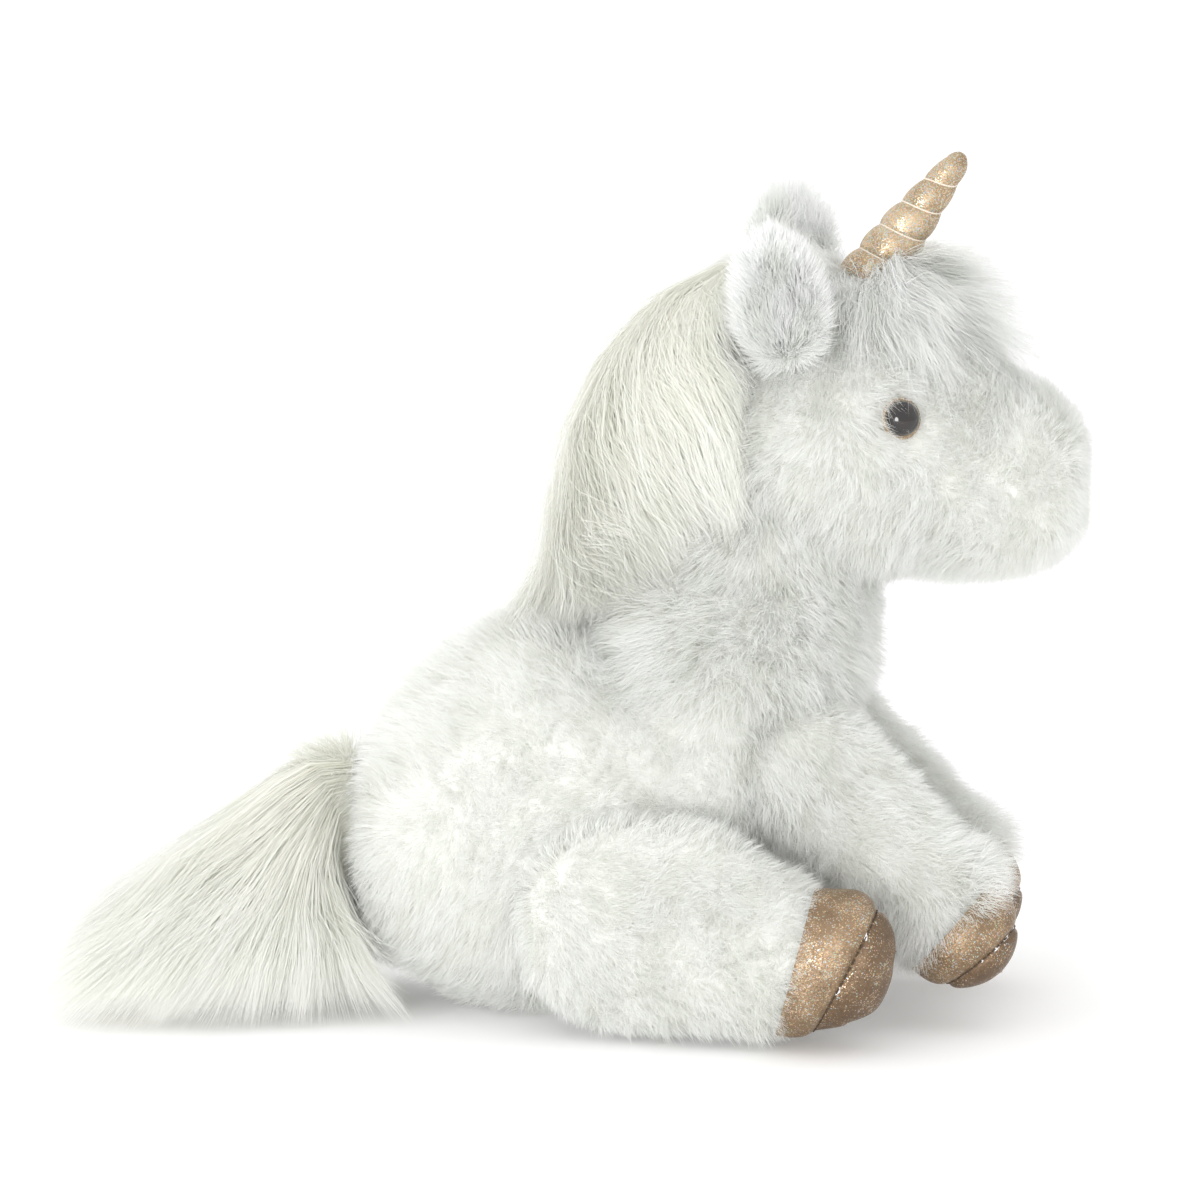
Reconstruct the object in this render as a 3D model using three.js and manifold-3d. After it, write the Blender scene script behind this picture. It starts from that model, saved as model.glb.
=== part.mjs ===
// Plush unicorn, lying on its belly with its legs stretched forward. Millimetres, +Z up.
// The toy faces +X, its left side is +Y, and the origin is on the ground under the middle.

import * as THREE from "three";
import { mergeVertices } from "three/addons/utils/BufferGeometryUtils.js";
import Module from "manifold-3d";

const wasm = await Module();
wasm.setup();

// ---- driving dimensions ----

const GAP = 0.3; // between pieces that lie against each other
const PILE = 7; // thickness of the pile fabric of the trunk and head
const PILE_RIM = 1; // the long pile is kept this far off the head's panels
const SLEEVE = 6; // thickness of the pile fabric of the legs
const HOOF_CLOTH = 2; // thickness of the padded glitter cloth of the hooves
const FAR = 400; // reach of a cutting block

const NECK_CUT = 119.7; // height of the trunk's neck opening
const NECK_BALL = 40; // radius of the stuffed neck the head nods on
const NOD = { x: 58, z: 118 }; // side-to-side axis the head nods about
// Degrees kept free below the head's rim, and how far out from the nod axis.
const NOD_CLEAR = { front: { angle: 16, reach: 46 }, back: { angle: 9.5, reach: 85 } };

const RIM_HEIGHT = 4; // of the head's rim above the nod axis, beside the neck

const BELLY_HEIGHT = 16; // top edge of the belly panel
const GUSSET_HALF_WIDTH = 17; // head gusset, nose to nape

const SHOULDER = { x: 74, z: 80, recess: 28, inner: 10.7 };
const HIP = { x: 21.5, z: 36, recess: 40, inner: 42.2 };

const POUCH = { x: -20, z: 19, long: 27, wide: 29, tall: 17 };

const EYE = { x: 105, y: 38.6, z: 192.5, aim: [0.6, 0.77, 0.2], radius: 6, ring: 7.4, washer: 7 };

const HORN = { x: 92, z: 229.4, lean: 37, length: 50, base: 7.7, tip: 2.9, wall: 1.2 };
const THREAD = { turns: 4.5, pitch: 9.8, radius: 0.4 };

const EAR = { x: 70, y: 41, z: 213, splay: 14, sweep: 8 };

const TAIL_HINGE = { x: -73, z: 72, radius: 5, height: 12 };

// Sections of each stuffed shape: centre, half height across the run, half width.
const TRUNK = [
  { x: -66, z: 47, tall: 0, wide: 0 },
  { x: -63, z: 47, tall: 24, wide: 26 },
  { x: -54, z: 48, tall: 40, wide: 41 },
  { x: -36, z: 51, tall: 55, wide: 52 },
  { x: -10, z: 57, tall: 65, wide: 56 },
  { x: 17, z: 67, tall: 64, wide: 54 },
  { x: 40, z: 85, tall: 53, wide: 47 },
  { x: 54, z: 110, tall: 42, wide: 41 },
  { x: 58, z: 135, tall: 39, wide: 39 },
];

const HEAD = [
  { x: 36, z: 189, tall: 0, wide: 0 },
  { x: 39, z: 189, tall: 20, wide: 20 },
  { x: 50, z: 189, tall: 36, wide: 35 },
  { x: 68, z: 185, tall: 46, wide: 44 },
  { x: 90, z: 182, tall: 49, wide: 46 },
  { x: 110, z: 177, tall: 43, wide: 42 },
  { x: 126, z: 171, tall: 36, wide: 38 },
  { x: 142, z: 168, tall: 32.5, wide: 36 },
  { x: 155, z: 167, tall: 24, wide: 28 },
  { x: 161, z: 167, tall: 12, wide: 14 },
  { x: 163.5, z: 167, tall: 0, wide: 0 },
];

const NAPE = [
  { x: 58, z: 118, tall: 43, wide: 41 },
  { x: 61, z: 142, tall: 40, wide: 38 },
  { x: 76, z: 164, tall: 24, wide: 28 },
];

const MANE = [
  { x: 82, z: 228, tall: 0, wide: 0 },
  { x: 78, z: 228, tall: 6, wide: 10 },
  { x: 62, z: 225, tall: 13, wide: 27 },
  { x: 44, z: 211, tall: 22, wide: 39 },
  { x: 33, z: 190, tall: 27, wide: 44 },
  { x: 28, z: 168, tall: 28, wide: 44 },
  { x: 22, z: 150, tall: 24, wide: 40 },
  { x: 12, z: 137, tall: 17, wide: 30 },
  { x: 2, z: 128, tall: 0, wide: 0 },
];

const FORELOCK = [
  { x: 93, z: 219, tall: 0, wide: 0 },
  { x: 96, z: 218, tall: 12, wide: 26 },
  { x: 108, z: 213, tall: 19, wide: 38 },
  { x: 122, z: 208, tall: 19, wide: 36 },
  { x: 136, z: 207, tall: 13, wide: 24 },
  { x: 144, z: 208, tall: 6, wide: 10 },
  { x: 147, z: 208.5, tall: 0, wide: 0 },
];

const EAR_LEAF = [
  { x: 0, z: 0, tall: 0, wide: 0 },
  { x: 0, z: 2, tall: 8, wide: 3.5 },
  { x: 0, z: 12, tall: 14, wide: 5.5 },
  { x: 0, z: 24, tall: 15, wide: 5.5 },
  { x: 0, z: 34, tall: 10.5, wide: 4.5 },
  { x: 0, z: 38.5, tall: 5.5, wide: 3 },
  { x: 0, z: 40, tall: 0, wide: 0 },
];

const FORE_LEG = {
  sections: [
    { x: 57, y: 29, z: 98, tall: 0, wide: 0 },
    { x: 59.5, y: 29, z: 95.5, tall: 11, wide: 9 },
    { x: 66, y: 29, z: 89, tall: 21, wide: 16 },
    { x: 76, y: 29, z: 79, tall: 24, wide: 18 },
    { x: 90, y: 29, z: 65, tall: 24, wide: 18 },
    { x: 105, y: 29, z: 49, tall: 23.5, wide: 18 },
    { x: 117, y: 29, z: 37, tall: 22, wide: 18 },
    { x: 125, y: 29, z: 29, tall: 20, wide: 17.5 },
    { x: 131.5, y: 29, z: 22.5, tall: 15.5, wide: 14.5 },
    { x: 135.5, y: 29, z: 18.5, tall: 8, wide: 8 },
    { x: 137, y: 29, z: 17, tall: 0, wide: 0 },
  ],
  hem: { x: 122.5, z: 30.5, along: [0.76, 0, -0.65] },
  sole: { x: 134, z: 26, along: [0.65, 0, -0.76] },
};

const HIND_LEG = {
  sections: [
    { x: -12, y: 58, z: 34, tall: 0, wide: 0 },
    { x: -8.5, y: 58, z: 34, tall: 13, wide: 7 },
    { x: 0.5, y: 58.5, z: 35, tall: 26, wide: 13 },
    { x: 19.5, y: 59.5, z: 36.5, tall: 35, wide: 16.5 },
    { x: 41.5, y: 61, z: 35.5, tall: 34, wide: 18 },
    { x: 59.5, y: 63.5, z: 30.5, tall: 29, wide: 18.5 },
    { x: 75.5, y: 66, z: 28, tall: 25, wide: 18.5 },
    { x: 87.5, y: 67, z: 30, tall: 22.5, wide: 18 },
    { x: 97.5, y: 67.5, z: 31, tall: 19, wide: 15.5 },
    { x: 103.5, y: 67.5, z: 31.5, tall: 10, wide: 8.5 },
    { x: 105.5, y: 67.5, z: 31.5, tall: 0, wide: 0 },
  ],
  hem: { x: 77.5, z: 28.5, along: [0.968, 0, -0.25] },
  sole: { x: 92.5, z: 30.5, along: [0.89, 0, -0.456] },
};

const TAIL = [
  { x: -71, y: 0, z: 73, tall: 0, wide: 0 },
  { x: -74, y: 0, z: 67, tall: 10, wide: 9 },
  { x: -80, y: 0, z: 55, tall: 19, wide: 18 },
  { x: -88, y: -2, z: 41, tall: 27, wide: 28 },
  { x: -100, y: -5, z: 30, tall: 25, wide: 34 },
  { x: -116, y: -9, z: 22, tall: 20.5, wide: 37 },
  { x: -132, y: -14, z: 15, tall: 14, wide: 36 },
  { x: -148, y: -20, z: 8.5, tall: 7.5, wide: 28 },
  { x: -159, y: -24, z: 4.5, tall: 3.5, wide: 14 },
  { x: -163, y: -26, z: 3, tall: 0, wide: 0 },
];

// Plan of the room the swinging tail keeps within.
const TAIL_PLAN = [
  [-68, -4],
  [-68, 4],
  [-95, 32],
  [-170, 80],
  [-170, -80],
  [-95, -32],
];

// ---- materials ----

function fabric(red, green, blue, roughness = 0.9) {
  const color = new THREE.Color(red, green, blue);
  return new THREE.MeshStandardMaterial({ color, roughness, metalness: 0 });
}

const whitePile = fabric(0.9, 0.9, 0.88);
const ivoryPile = fabric(0.86, 0.84, 0.76);
const filling = fabric(0.94, 0.94, 0.94);
const pouchCloth = fabric(0.75, 0.74, 0.7);
const goldCloth = fabric(0.62, 0.45, 0.27, 0.45);
const paleGoldCloth = fabric(0.7, 0.55, 0.37, 0.5);
const hornCloth = fabric(0.72, 0.54, 0.37, 0.4);
const sewingThread = fabric(0.85, 0.8, 0.7, 0.7);
const ringCloth = fabric(0.6, 0.47, 0.33, 0.5);
const eyePlastic = fabric(0.015, 0.012, 0.01, 0.08);
const washerPlastic = fabric(0.8, 0.8, 0.78, 0.5);

// ---- solids ----

function toSolid(geometry) {
  const plain = geometry.index ? geometry.toNonIndexed() : geometry.clone();
  plain.deleteAttribute("normal");
  plain.deleteAttribute("uv");
  const merged = mergeVertices(plain, 1e-4);
  const vertProperties = new Float32Array(merged.attributes.position.array);
  const triVerts = new Uint32Array(merged.index.array);
  return new wasm.Manifold(new wasm.Mesh({ numProp: 3, vertProperties, triVerts }));
}

function toGeometry(solid) {
  const { vertProperties, triVerts } = solid.getMesh();
  const geometry = new THREE.BufferGeometry();
  geometry.setAttribute("position", new THREE.BufferAttribute(vertProperties, 3));
  geometry.setIndex(new THREE.BufferAttribute(triVerts, 1));
  const faceted = geometry.toNonIndexed();
  faceted.computeVertexNormals();
  return faceted;
}

function radians(degrees) {
  return THREE.MathUtils.degToRad(degrees);
}

// A stuffed shape through the given sections, drawn in by `inset` all round.
function loft(sections, { inset = 0, around = 20, perSpan = 1, side = 1 } = {}) {
  const centres = new THREE.CatmullRomCurve3(
    sections.map(({ x, y = 0, z }) => new THREE.Vector3(x, side * y, z)),
    false,
    "catmullrom",
  );
  const sizes = new THREE.CatmullRomCurve3(
    sections.map(({ tall, wide }) => new THREE.Vector3(tall, wide, 0)),
    false,
    "catmullrom",
  );
  const steps = (sections.length - 1) * perSpan;
  const ends = [centres.getPoint(0), centres.getPoint(1)];
  const round = [sections[0].tall === 0, sections.at(-1).tall === 0];
  const rings = [];
  for (let step = 0; step <= steps; step++) {
    const along = step / steps;
    const centre = centres.getPoint(along);
    const size = sizes.getPoint(along);
    const clearOfEnds = ends.every(
      (end, which) => !round[which] || centre.distanceTo(end) > inset + 0.5,
    );
    if (clearOfEnds && Math.min(size.x, size.y) > inset + 1) {
      rings.push(sectionRing(centres, along, size, inset, around));
    }
  }
  const tips = ends.map((end, which) => {
    const inward = centres.getTangent(which).multiplyScalar(which === 0 ? inset : -inset);
    return round[which] ? end.clone().add(inward) : end;
  });
  return toSolid(skinOver(rings, tips, around));
}

function sectionRing(centres, along, size, inset, around) {
  const centre = centres.getPoint(along);
  const run = centres.getTangent(along);
  const up = new THREE.Vector3(-run.z, 0, run.x).normalize();
  const ring = [];
  for (let step = 0; step < around; step++) {
    const turn = (2 * Math.PI * step) / around;
    const point = centre.clone().addScaledVector(up, (size.x - inset) * Math.sin(turn));
    point.y += (size.y - inset) * Math.cos(turn);
    ring.push(point);
  }
  return ring;
}

function skinOver(rings, tips, around) {
  const corners = [];
  const last = rings.at(-1);
  for (let step = 0; step < around; step++) {
    const next = (step + 1) % around;
    corners.push(tips[0], rings[0][next], rings[0][step]);
    for (let ring = 0; ring < rings.length - 1; ring++) {
      const near = rings[ring];
      const far = rings[ring + 1];
      corners.push(near[step], near[next], far[next]);
      corners.push(near[step], far[next], far[step]);
    }
    corners.push(tips[1], last[step], last[next]);
  }
  return new THREE.BufferGeometry().setFromPoints(corners);
}

function block(x0, x1, y0, y1, z0, z1) {
  const geometry = new THREE.BoxGeometry(x1 - x0, y1 - y0, z1 - z0);
  geometry.translate((x0 + x1) / 2, (y0 + y1) / 2, (z0 + z1) / 2);
  return toSolid(geometry);
}

// Everything beyond a plane: `along` is the plane's normal.
function beyond({ x, y = 0, z, along }, offset = 0) {
  const geometry = new THREE.BoxGeometry(FAR, FAR, FAR);
  geometry.translate(0, 0, FAR / 2 + offset);
  const direction = new THREE.Vector3(...along).normalize();
  const turn = new THREE.Quaternion().setFromUnitVectors(new THREE.Vector3(0, 0, 1), direction);
  geometry.applyQuaternion(turn);
  geometry.translate(x, y, z);
  return toSolid(geometry);
}

function ball(x, y, z, radius, around = 20) {
  const geometry = new THREE.SphereGeometry(radius, around, around * 0.6);
  geometry.translate(x, y, z);
  return toSolid(geometry);
}

// A prism whose outline lies in the side view, spanning y0 to y1.
function sidePrism(outline, y0, y1) {
  const shape = new THREE.Shape(outline.map(([x, z]) => new THREE.Vector2(x, z)));
  const geometry = new THREE.ExtrudeGeometry(shape, { depth: y1 - y0, bevelEnabled: false });
  geometry.rotateX(Math.PI / 2);
  geometry.translate(0, y1, 0);
  return toSolid(geometry);
}

function sideDisc({ x, z }, radius, y0, y1, around = 28) {
  const geometry = new THREE.CylinderGeometry(radius, radius, y1 - y0, around);
  geometry.translate(x, (y0 + y1) / 2, z);
  return toSolid(geometry);
}

// A turned part about its own axis: `profile` is [radius, height] pairs.
function turned(profile, place, around) {
  const points = profile.map(([radius, height]) => new THREE.Vector2(radius, height));
  const geometry = new THREE.LatheGeometry(points, around);
  geometry.applyMatrix4(place);
  return toSolid(geometry);
}

function placed(x, y, z, aim) {
  const direction = new THREE.Vector3(...aim).normalize();
  const turn = new THREE.Quaternion().setFromUnitVectors(new THREE.Vector3(0, 1, 0), direction);
  return new THREE.Matrix4().compose(new THREE.Vector3(x, y, z), turn, new THREE.Vector3(1, 1, 1));
}

// ---- assembly ----

const group = new THREE.Group();
group.name = "plush_unicorn";

function add(name, solid, material) {
  const piece = new THREE.Mesh(toGeometry(solid), material.clone());
  piece.name = name;
  group.add(piece);
}

// ---- trunk ----

function legRecesses(side, inset) {
  const spans = (inner) => (side > 0 ? [inner - inset, FAR] : [-FAR, -inner + inset]);
  const shoulder = spans(SHOULDER.inner);
  const hip = spans(HIP.inner);
  const foreSweep = [
    [53 - inset, 66 + inset * 0.3],
    [98 - inset, -20],
    [190, -20],
    [190, 93 + inset],
    [78, 105 + inset],
  ];
  const hindSweep = [
    [19.5 - inset, -20],
    [23.5 - inset, 76.5 + inset],
    [63.5, 79 + inset],
    [103.5, 88 + inset],
    [113.5, -20],
  ];
  return sideDisc(SHOULDER, SHOULDER.recess + inset, ...shoulder)
    .add(sidePrism(foreSweep, ...shoulder))
    .add(sideDisc(HIP, HIP.recess + inset, ...hip))
    .add(sidePrism(hindSweep, ...hip));
}

function trunkShape(inset, top) {
  return loft(TRUNK, { inset, around: 24, perSpan: 1.5 })
    .subtract(legRecesses(1, inset))
    .subtract(legRecesses(-1, inset))
    .intersect(block(-FAR, FAR, -FAR, FAR, inset, top));
}

function buildTrunk() {
  const skin = trunkShape(0, NECK_CUT).subtract(trunkShape(PILE, NECK_CUT + 10));
  const panels = skin.intersect(block(-FAR, FAR, -FAR, FAR, BELLY_HEIGHT + GAP, FAR));
  add("trunk_panel_left", panels.intersect(block(-FAR, FAR, GAP / 2, FAR, 0, FAR)), whitePile);
  add("trunk_panel_right", panels.intersect(block(-FAR, FAR, -FAR, -GAP / 2, 0, FAR)), whitePile);
  add("belly_panel", skin.intersect(block(-FAR, FAR, -FAR, FAR, -1, BELLY_HEIGHT)), whitePile);

  const pouchShape = (grow) => {
    const geometry = new THREE.SphereGeometry(1, 20, 12);
    geometry.scale(POUCH.long + grow, POUCH.wide + grow, POUCH.tall + grow);
    geometry.translate(POUCH.x, 0, POUCH.z);
    return toSolid(geometry);
  };
  const filled = trunkShape(PILE + GAP, NECK_CUT - GAP);
  add("trunk_stuffing", filled.subtract(pouchShape(GAP)), filling);
  add("pellet_pouch", filled.intersect(pouchShape(0)), pouchCloth);
}

function buildNeck() {
  const above = block(-FAR, FAR, -FAR, FAR, NECK_CUT + GAP, FAR);
  const cover = ball(NOD.x, 0, NOD.z, NECK_BALL, 24).subtract(ball(NOD.x, 0, NOD.z, NECK_BALL - 3, 20));
  add("neck_cover", cover.intersect(above), whitePile);
  add("neck_stuffing", ball(NOD.x, 0, NOD.z, NECK_BALL - 3.6, 20).intersect(above), filling);
}

// ---- head ----

function headShape(inset) {
  const skull = loft(HEAD, { inset, around: 20, perSpan: 1.4 });
  return skull.add(loft(NAPE, { inset, around: 20 }));
}

// Space under the head's rim that the nodding head needs.
function nodSpace(raise) {
  const { front, back } = NOD_CLEAR;
  const foot = NOD.z + RIM_HEIGHT / 2 + raise;
  const wedge = [
    [NOD.x, NOD.z + RIM_HEIGHT + raise],
    [NOD.x - back.reach, foot + back.reach * Math.tan(radians(back.angle))],
    [NOD.x - back.reach, NOD.z - 20],
    [NOD.x + front.reach, NOD.z - 20],
    [NOD.x + front.reach, foot + front.reach * Math.tan(radians(front.angle))],
  ];
  return sidePrism(wedge, -FAR, FAR).add(ball(NOD.x, 0, NOD.z, NECK_BALL + 0.7 + raise, 24));
}

function eyePlace(side) {
  return placed(EYE.x, side * EYE.y, EYE.z, [EYE.aim[0], side * EYE.aim[1], EYE.aim[2]]);
}

function eyePocket(side, radius, from, to) {
  const profile = [
    [0, from],
    [radius, from],
    [radius, to],
    [0, to],
  ];
  return turned(profile, eyePlace(side), 16);
}

function buildHead() {
  const hornSeat = ball(HORN.x, 0, HORN.z, HORN.base + 2.4, 16);
  let skin = headShape(0).subtract(headShape(PILE)).subtract(nodSpace(0)).subtract(hornSeat);
  let stuffing = headShape(PILE + GAP)
    .subtract(nodSpace(GAP))
    .subtract(ball(HORN.x, 0, HORN.z, HORN.base + 2.7, 16));
  for (const side of [1, -1]) {
    skin = skin
      .subtract(eyePocket(side, EYE.ring + 0.6, -1.3, 30))
      .subtract(eyePocket(side, 2.3, -12, 0));
    stuffing = stuffing.subtract(eyePocket(side, EYE.washer + 1.2, -13, 5));
  }
  const crown = { x: 100, z: 178, along: [0.18, 0, 1] };
  const band = beyond(crown).intersect(
    block(-FAR, FAR, -GUSSET_HALF_WIDTH, GUSSET_HALF_WIDTH, -FAR, FAR),
  );
  const bandRoom = beyond(crown, -GAP).intersect(
    block(-FAR, FAR, -GUSSET_HALF_WIDTH - GAP, GUSSET_HALF_WIDTH + GAP, -FAR, FAR),
  );
  const sides = skin.subtract(bandRoom);
  add("head_gusset", skin.intersect(band), whitePile);
  add("head_panel_left", sides.intersect(block(-FAR, FAR, GAP / 2, FAR, -FAR, FAR)), whitePile);
  add("head_panel_right", sides.intersect(block(-FAR, FAR, -FAR, -GAP / 2, -FAR, FAR)), whitePile);
  add("head_stuffing", stuffing, filling);
}

function buildEye(side, name) {
  const dome = [
    [0, -10],
    [1.8, -10],
    [1.8, 0],
    [EYE.radius, 0],
    [EYE.radius * 0.97, 1.3],
    [EYE.radius * 0.84, 3],
    [EYE.radius * 0.6, 4.4],
    [EYE.radius * 0.3, 5.2],
    [0, 5.5],
  ];
  const flatRing = (inner, outer, low, high) => [
    [inner, low],
    [outer, low],
    [outer, high],
    [inner, high],
    [inner, low],
  ];
  add(`eye_${name}`, turned(dome, eyePlace(side), 18), eyePlastic);
  add(`eye_ring_${name}`, turned(flatRing(2.2, EYE.ring, -1, -0.3), eyePlace(side), 18), ringCloth);
  const washer = turned(flatRing(2.1, EYE.washer, -9.2, -7.7), eyePlace(side), 16);
  add(`eye_washer_${name}`, washer, washerPlastic);
}

// ---- horn ----

function hornRadius(height) {
  return THREE.MathUtils.lerp(HORN.base, HORN.tip, Math.max(height, 0) / HORN.length);
}

function hornProfile(inset, floor) {
  const profile = [[0, floor]];
  const top = HORN.length - HORN.tip;
  for (let step = 0; step <= 4; step++) {
    const height = THREE.MathUtils.lerp(floor, top, step / 4);
    profile.push([hornRadius(height) - inset, height]);
  }
  profile.push([(HORN.tip - inset) * 0.75, HORN.length - 1 - inset]);
  profile.push([0, HORN.length - inset]);
  return profile;
}

class HornSpiral extends THREE.Curve {
  getPoint(along, target = new THREE.Vector3()) {
    const turn = 2 * Math.PI * THREAD.turns * along;
    const height = 3 + THREAD.turns * THREAD.pitch * along;
    const reach = hornRadius(height) + THREAD.radius + GAP;
    return target.set(reach * Math.cos(turn), height, reach * Math.sin(turn));
  }
}

function buildHorn() {
  const lean = radians(HORN.lean);
  const place = placed(HORN.x, 0, HORN.z, [Math.sin(lean), 0, Math.cos(lean)]);
  const outer = turned(hornProfile(0, 0), place, 16);
  const hollow = turned(hornProfile(HORN.wall, -2), place, 16);
  add("horn_cover", outer.subtract(hollow), hornCloth);
  add("horn_stuffing", turned(hornProfile(HORN.wall + GAP, 0), place, 12), filling);

  const corner = (step) => {
    const turn = (2 * Math.PI * step) / 4;
    return new THREE.Vector2(THREAD.radius * Math.cos(turn), THREAD.radius * Math.sin(turn));
  };
  const cord = new THREE.Shape([0, 1, 2, 3].map(corner));
  const spiral = new THREE.ExtrudeGeometry(cord, { steps: 50, extrudePath: new HornSpiral() });
  spiral.applyMatrix4(place);
  add("horn_thread", toSolid(spiral), sewingThread);
}

// ---- ears, mane, forelock ----

function buildEar(side, name) {
  const leftHalf = block(-FAR, FAR, GAP / 2, FAR, -1, FAR);
  const rightHalf = block(-FAR, FAR, -FAR, -GAP / 2, -1, FAR);
  const halves = side > 0 ? { inner: rightHalf, outer: leftHalf } : { inner: leftHalf, outer: rightHalf };
  for (const [half, keep] of Object.entries(halves)) {
    const leaf = toGeometry(loft(EAR_LEAF, { around: 12 }).intersect(keep));
    leaf.rotateY(radians(-EAR.sweep));
    leaf.rotateX(radians(-side * EAR.splay));
    leaf.translate(EAR.x, side * EAR.y, EAR.z);
    add(`ear_${half}_${name}`, toSolid(leaf), whitePile);
  }
}

function buildMane() {
  const room = headShape(-PILE_RIM);
  const mane = loft(MANE, { around: 16 })
    .subtract(room)
    .subtract(nodSpace(0))
    .intersect(block(-FAR, 80, -FAR, FAR, -FAR, FAR));
  add("mane", mane, ivoryPile);
  const hornRoom = ball(HORN.x, 0, HORN.z, 15, 16);
  add("forelock", loft(FORELOCK, { around: 14 }).subtract(room).subtract(hornRoom), ivoryPile);
}

// ---- legs ----

function buildLeg(leg, side, name) {
  const limb = (inset) => loft(leg.sections, { inset, around: 14, side });
  const sleeve = limb(0).subtract(limb(SLEEVE));
  const hoof = limb(0).subtract(limb(HOOF_CLOTH)).intersect(beyond(leg.hem));
  const hoofFilling = limb(HOOF_CLOTH + GAP).intersect(beyond(leg.hem, GAP));
  add(`${name}_sleeve`, sleeve.subtract(beyond(leg.hem, -GAP)), whitePile);
  add(`${name}_hoof_band`, hoof.subtract(beyond(leg.sole, -GAP)), goldCloth);
  add(`${name}_hoof_sole`, hoof.intersect(beyond(leg.sole)), paleGoldCloth);
  add(`${name}_stuffing`, limb(SLEEVE + GAP).add(hoofFilling), filling);
}

// ---- tail ----

function buildTail() {
  const { x, z, radius, height } = TAIL_HINGE;
  const tab = new THREE.CylinderGeometry(radius, radius, height, 16);
  tab.rotateX(Math.PI / 2);
  tab.translate(x, 0, z);
  add("tail_tab", toSolid(tab), ivoryPile);
  const clear = new THREE.CylinderGeometry(radius + 0.6, radius + 0.6, FAR, 20);
  clear.rotateX(Math.PI / 2);
  clear.translate(x, 0, z);
  const shape = new THREE.Shape(TAIL_PLAN.map(([along, across]) => new THREE.Vector2(along, across)));
  const plan = new THREE.ExtrudeGeometry(shape, { depth: FAR, bevelEnabled: false });
  const pile = loft(TAIL, { around: 16 }).subtract(toSolid(clear));
  add("tail", pile.intersect(toSolid(plan)), ivoryPile);
}

buildTrunk();
buildNeck();
buildHead();
buildHorn();
buildMane();
buildTail();
for (const [side, name] of [
  [1, "left"],
  [-1, "right"],
]) {
  buildEye(side, name);
  buildEar(side, name);
  buildLeg(FORE_LEG, side, `foreleg_${name}`);
  buildLeg(HIND_LEG, side, `hindleg_${name}`);
}

export default group;
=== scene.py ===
"""The looks of the plush unicorn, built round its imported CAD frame.

Lengths are in millimetres up to the point where a mesh is made, where MM turns them into metres. Only
the bends of the long hair, the camera and the studio are given in metres.
The toy faces +X, its left side is +Y, and the ground is z = 0.
"""

import math

import bpy
import numpy as np
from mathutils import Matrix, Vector, kdtree


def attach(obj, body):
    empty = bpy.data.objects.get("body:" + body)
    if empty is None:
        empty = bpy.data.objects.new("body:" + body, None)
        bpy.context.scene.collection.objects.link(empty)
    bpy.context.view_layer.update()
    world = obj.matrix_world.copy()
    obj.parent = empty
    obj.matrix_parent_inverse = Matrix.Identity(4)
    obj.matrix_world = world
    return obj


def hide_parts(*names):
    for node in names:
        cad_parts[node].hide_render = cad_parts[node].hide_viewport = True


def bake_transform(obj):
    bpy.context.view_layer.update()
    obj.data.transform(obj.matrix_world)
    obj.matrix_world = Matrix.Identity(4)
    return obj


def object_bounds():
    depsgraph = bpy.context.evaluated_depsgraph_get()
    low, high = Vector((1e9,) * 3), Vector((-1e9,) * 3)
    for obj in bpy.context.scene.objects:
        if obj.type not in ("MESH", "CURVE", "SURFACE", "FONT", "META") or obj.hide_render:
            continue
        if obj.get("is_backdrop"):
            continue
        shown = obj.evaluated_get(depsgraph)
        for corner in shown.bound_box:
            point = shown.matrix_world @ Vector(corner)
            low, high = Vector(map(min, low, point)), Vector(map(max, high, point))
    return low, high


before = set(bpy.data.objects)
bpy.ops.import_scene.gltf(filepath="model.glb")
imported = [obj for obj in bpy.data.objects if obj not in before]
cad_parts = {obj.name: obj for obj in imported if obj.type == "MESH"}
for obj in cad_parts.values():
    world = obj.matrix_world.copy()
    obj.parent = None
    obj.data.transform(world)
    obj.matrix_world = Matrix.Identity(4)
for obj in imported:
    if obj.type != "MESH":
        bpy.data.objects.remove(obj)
CAD_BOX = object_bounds()

MM = 0.001
GROUND = 0.3  # no pile reaches below this height
SKIN = 5.8  # depth of the fabric's backing below the tips of the pile
LEG_SKIN = 4.4
HOOF_SKIN = 1.6

# ---- sections of the stuffed shapes: x, y, z, half height, half width ----

TRUNK = [
    (-66, 0, 47, 0, 0),
    (-63, 0, 47, 24, 26),
    (-54, 0, 48, 40, 41),
    (-36, 0, 51, 57, 52),
    (-10, 0, 57, 67, 56),
    (17, 0, 67, 65, 55),
    (40, 0, 85, 56, 48),
    (49, 0, 110, 44, 47),
    (53, 0, 128, 42, 45),
]
HEAD = [
    (36, 0, 189, 0, 0),
    (39, 0, 189, 20, 20),
    (50, 0, 189, 36, 35),
    (68, 0, 185, 46, 44),
    (90, 0, 182, 49, 46),
    (110, 0, 177, 43, 42),
    (126, 0, 171, 36, 38),
    (142, 0, 168, 33, 36),
    (155, 0, 167, 24.5, 28),
    (161, 0, 167, 12, 14),
    (163.5, 0, 167, 0, 0),
]
NAPE = [
    (56, 0, 120, 40, 44),
    (60, 0, 142, 39, 43),
    (72, 0, 162, 32, 38),
]
NECK = [
    (53, 0, 108, 38, 46),
    (55.5, 0, 122, 37.5, 45.5),
    (58.5, 0, 138, 36.5, 43),
]
FORE_LEG = [
    (57, 29, 98, 0, 0),
    (59.5, 29, 95.5, 11, 9),
    (66, 29, 89, 21, 16),
    (76, 29, 79, 24, 18),
    (90, 29, 65, 24, 18),
    (105, 29, 49, 23.5, 18),
    (117, 29, 37, 22, 18),
    (125, 29, 29, 20, 17.5),
    (131.5, 29, 22.5, 15.5, 14.5),
    (135.5, 29, 18.5, 8, 8),
    (137, 29, 17, 0, 0),
]
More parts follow.
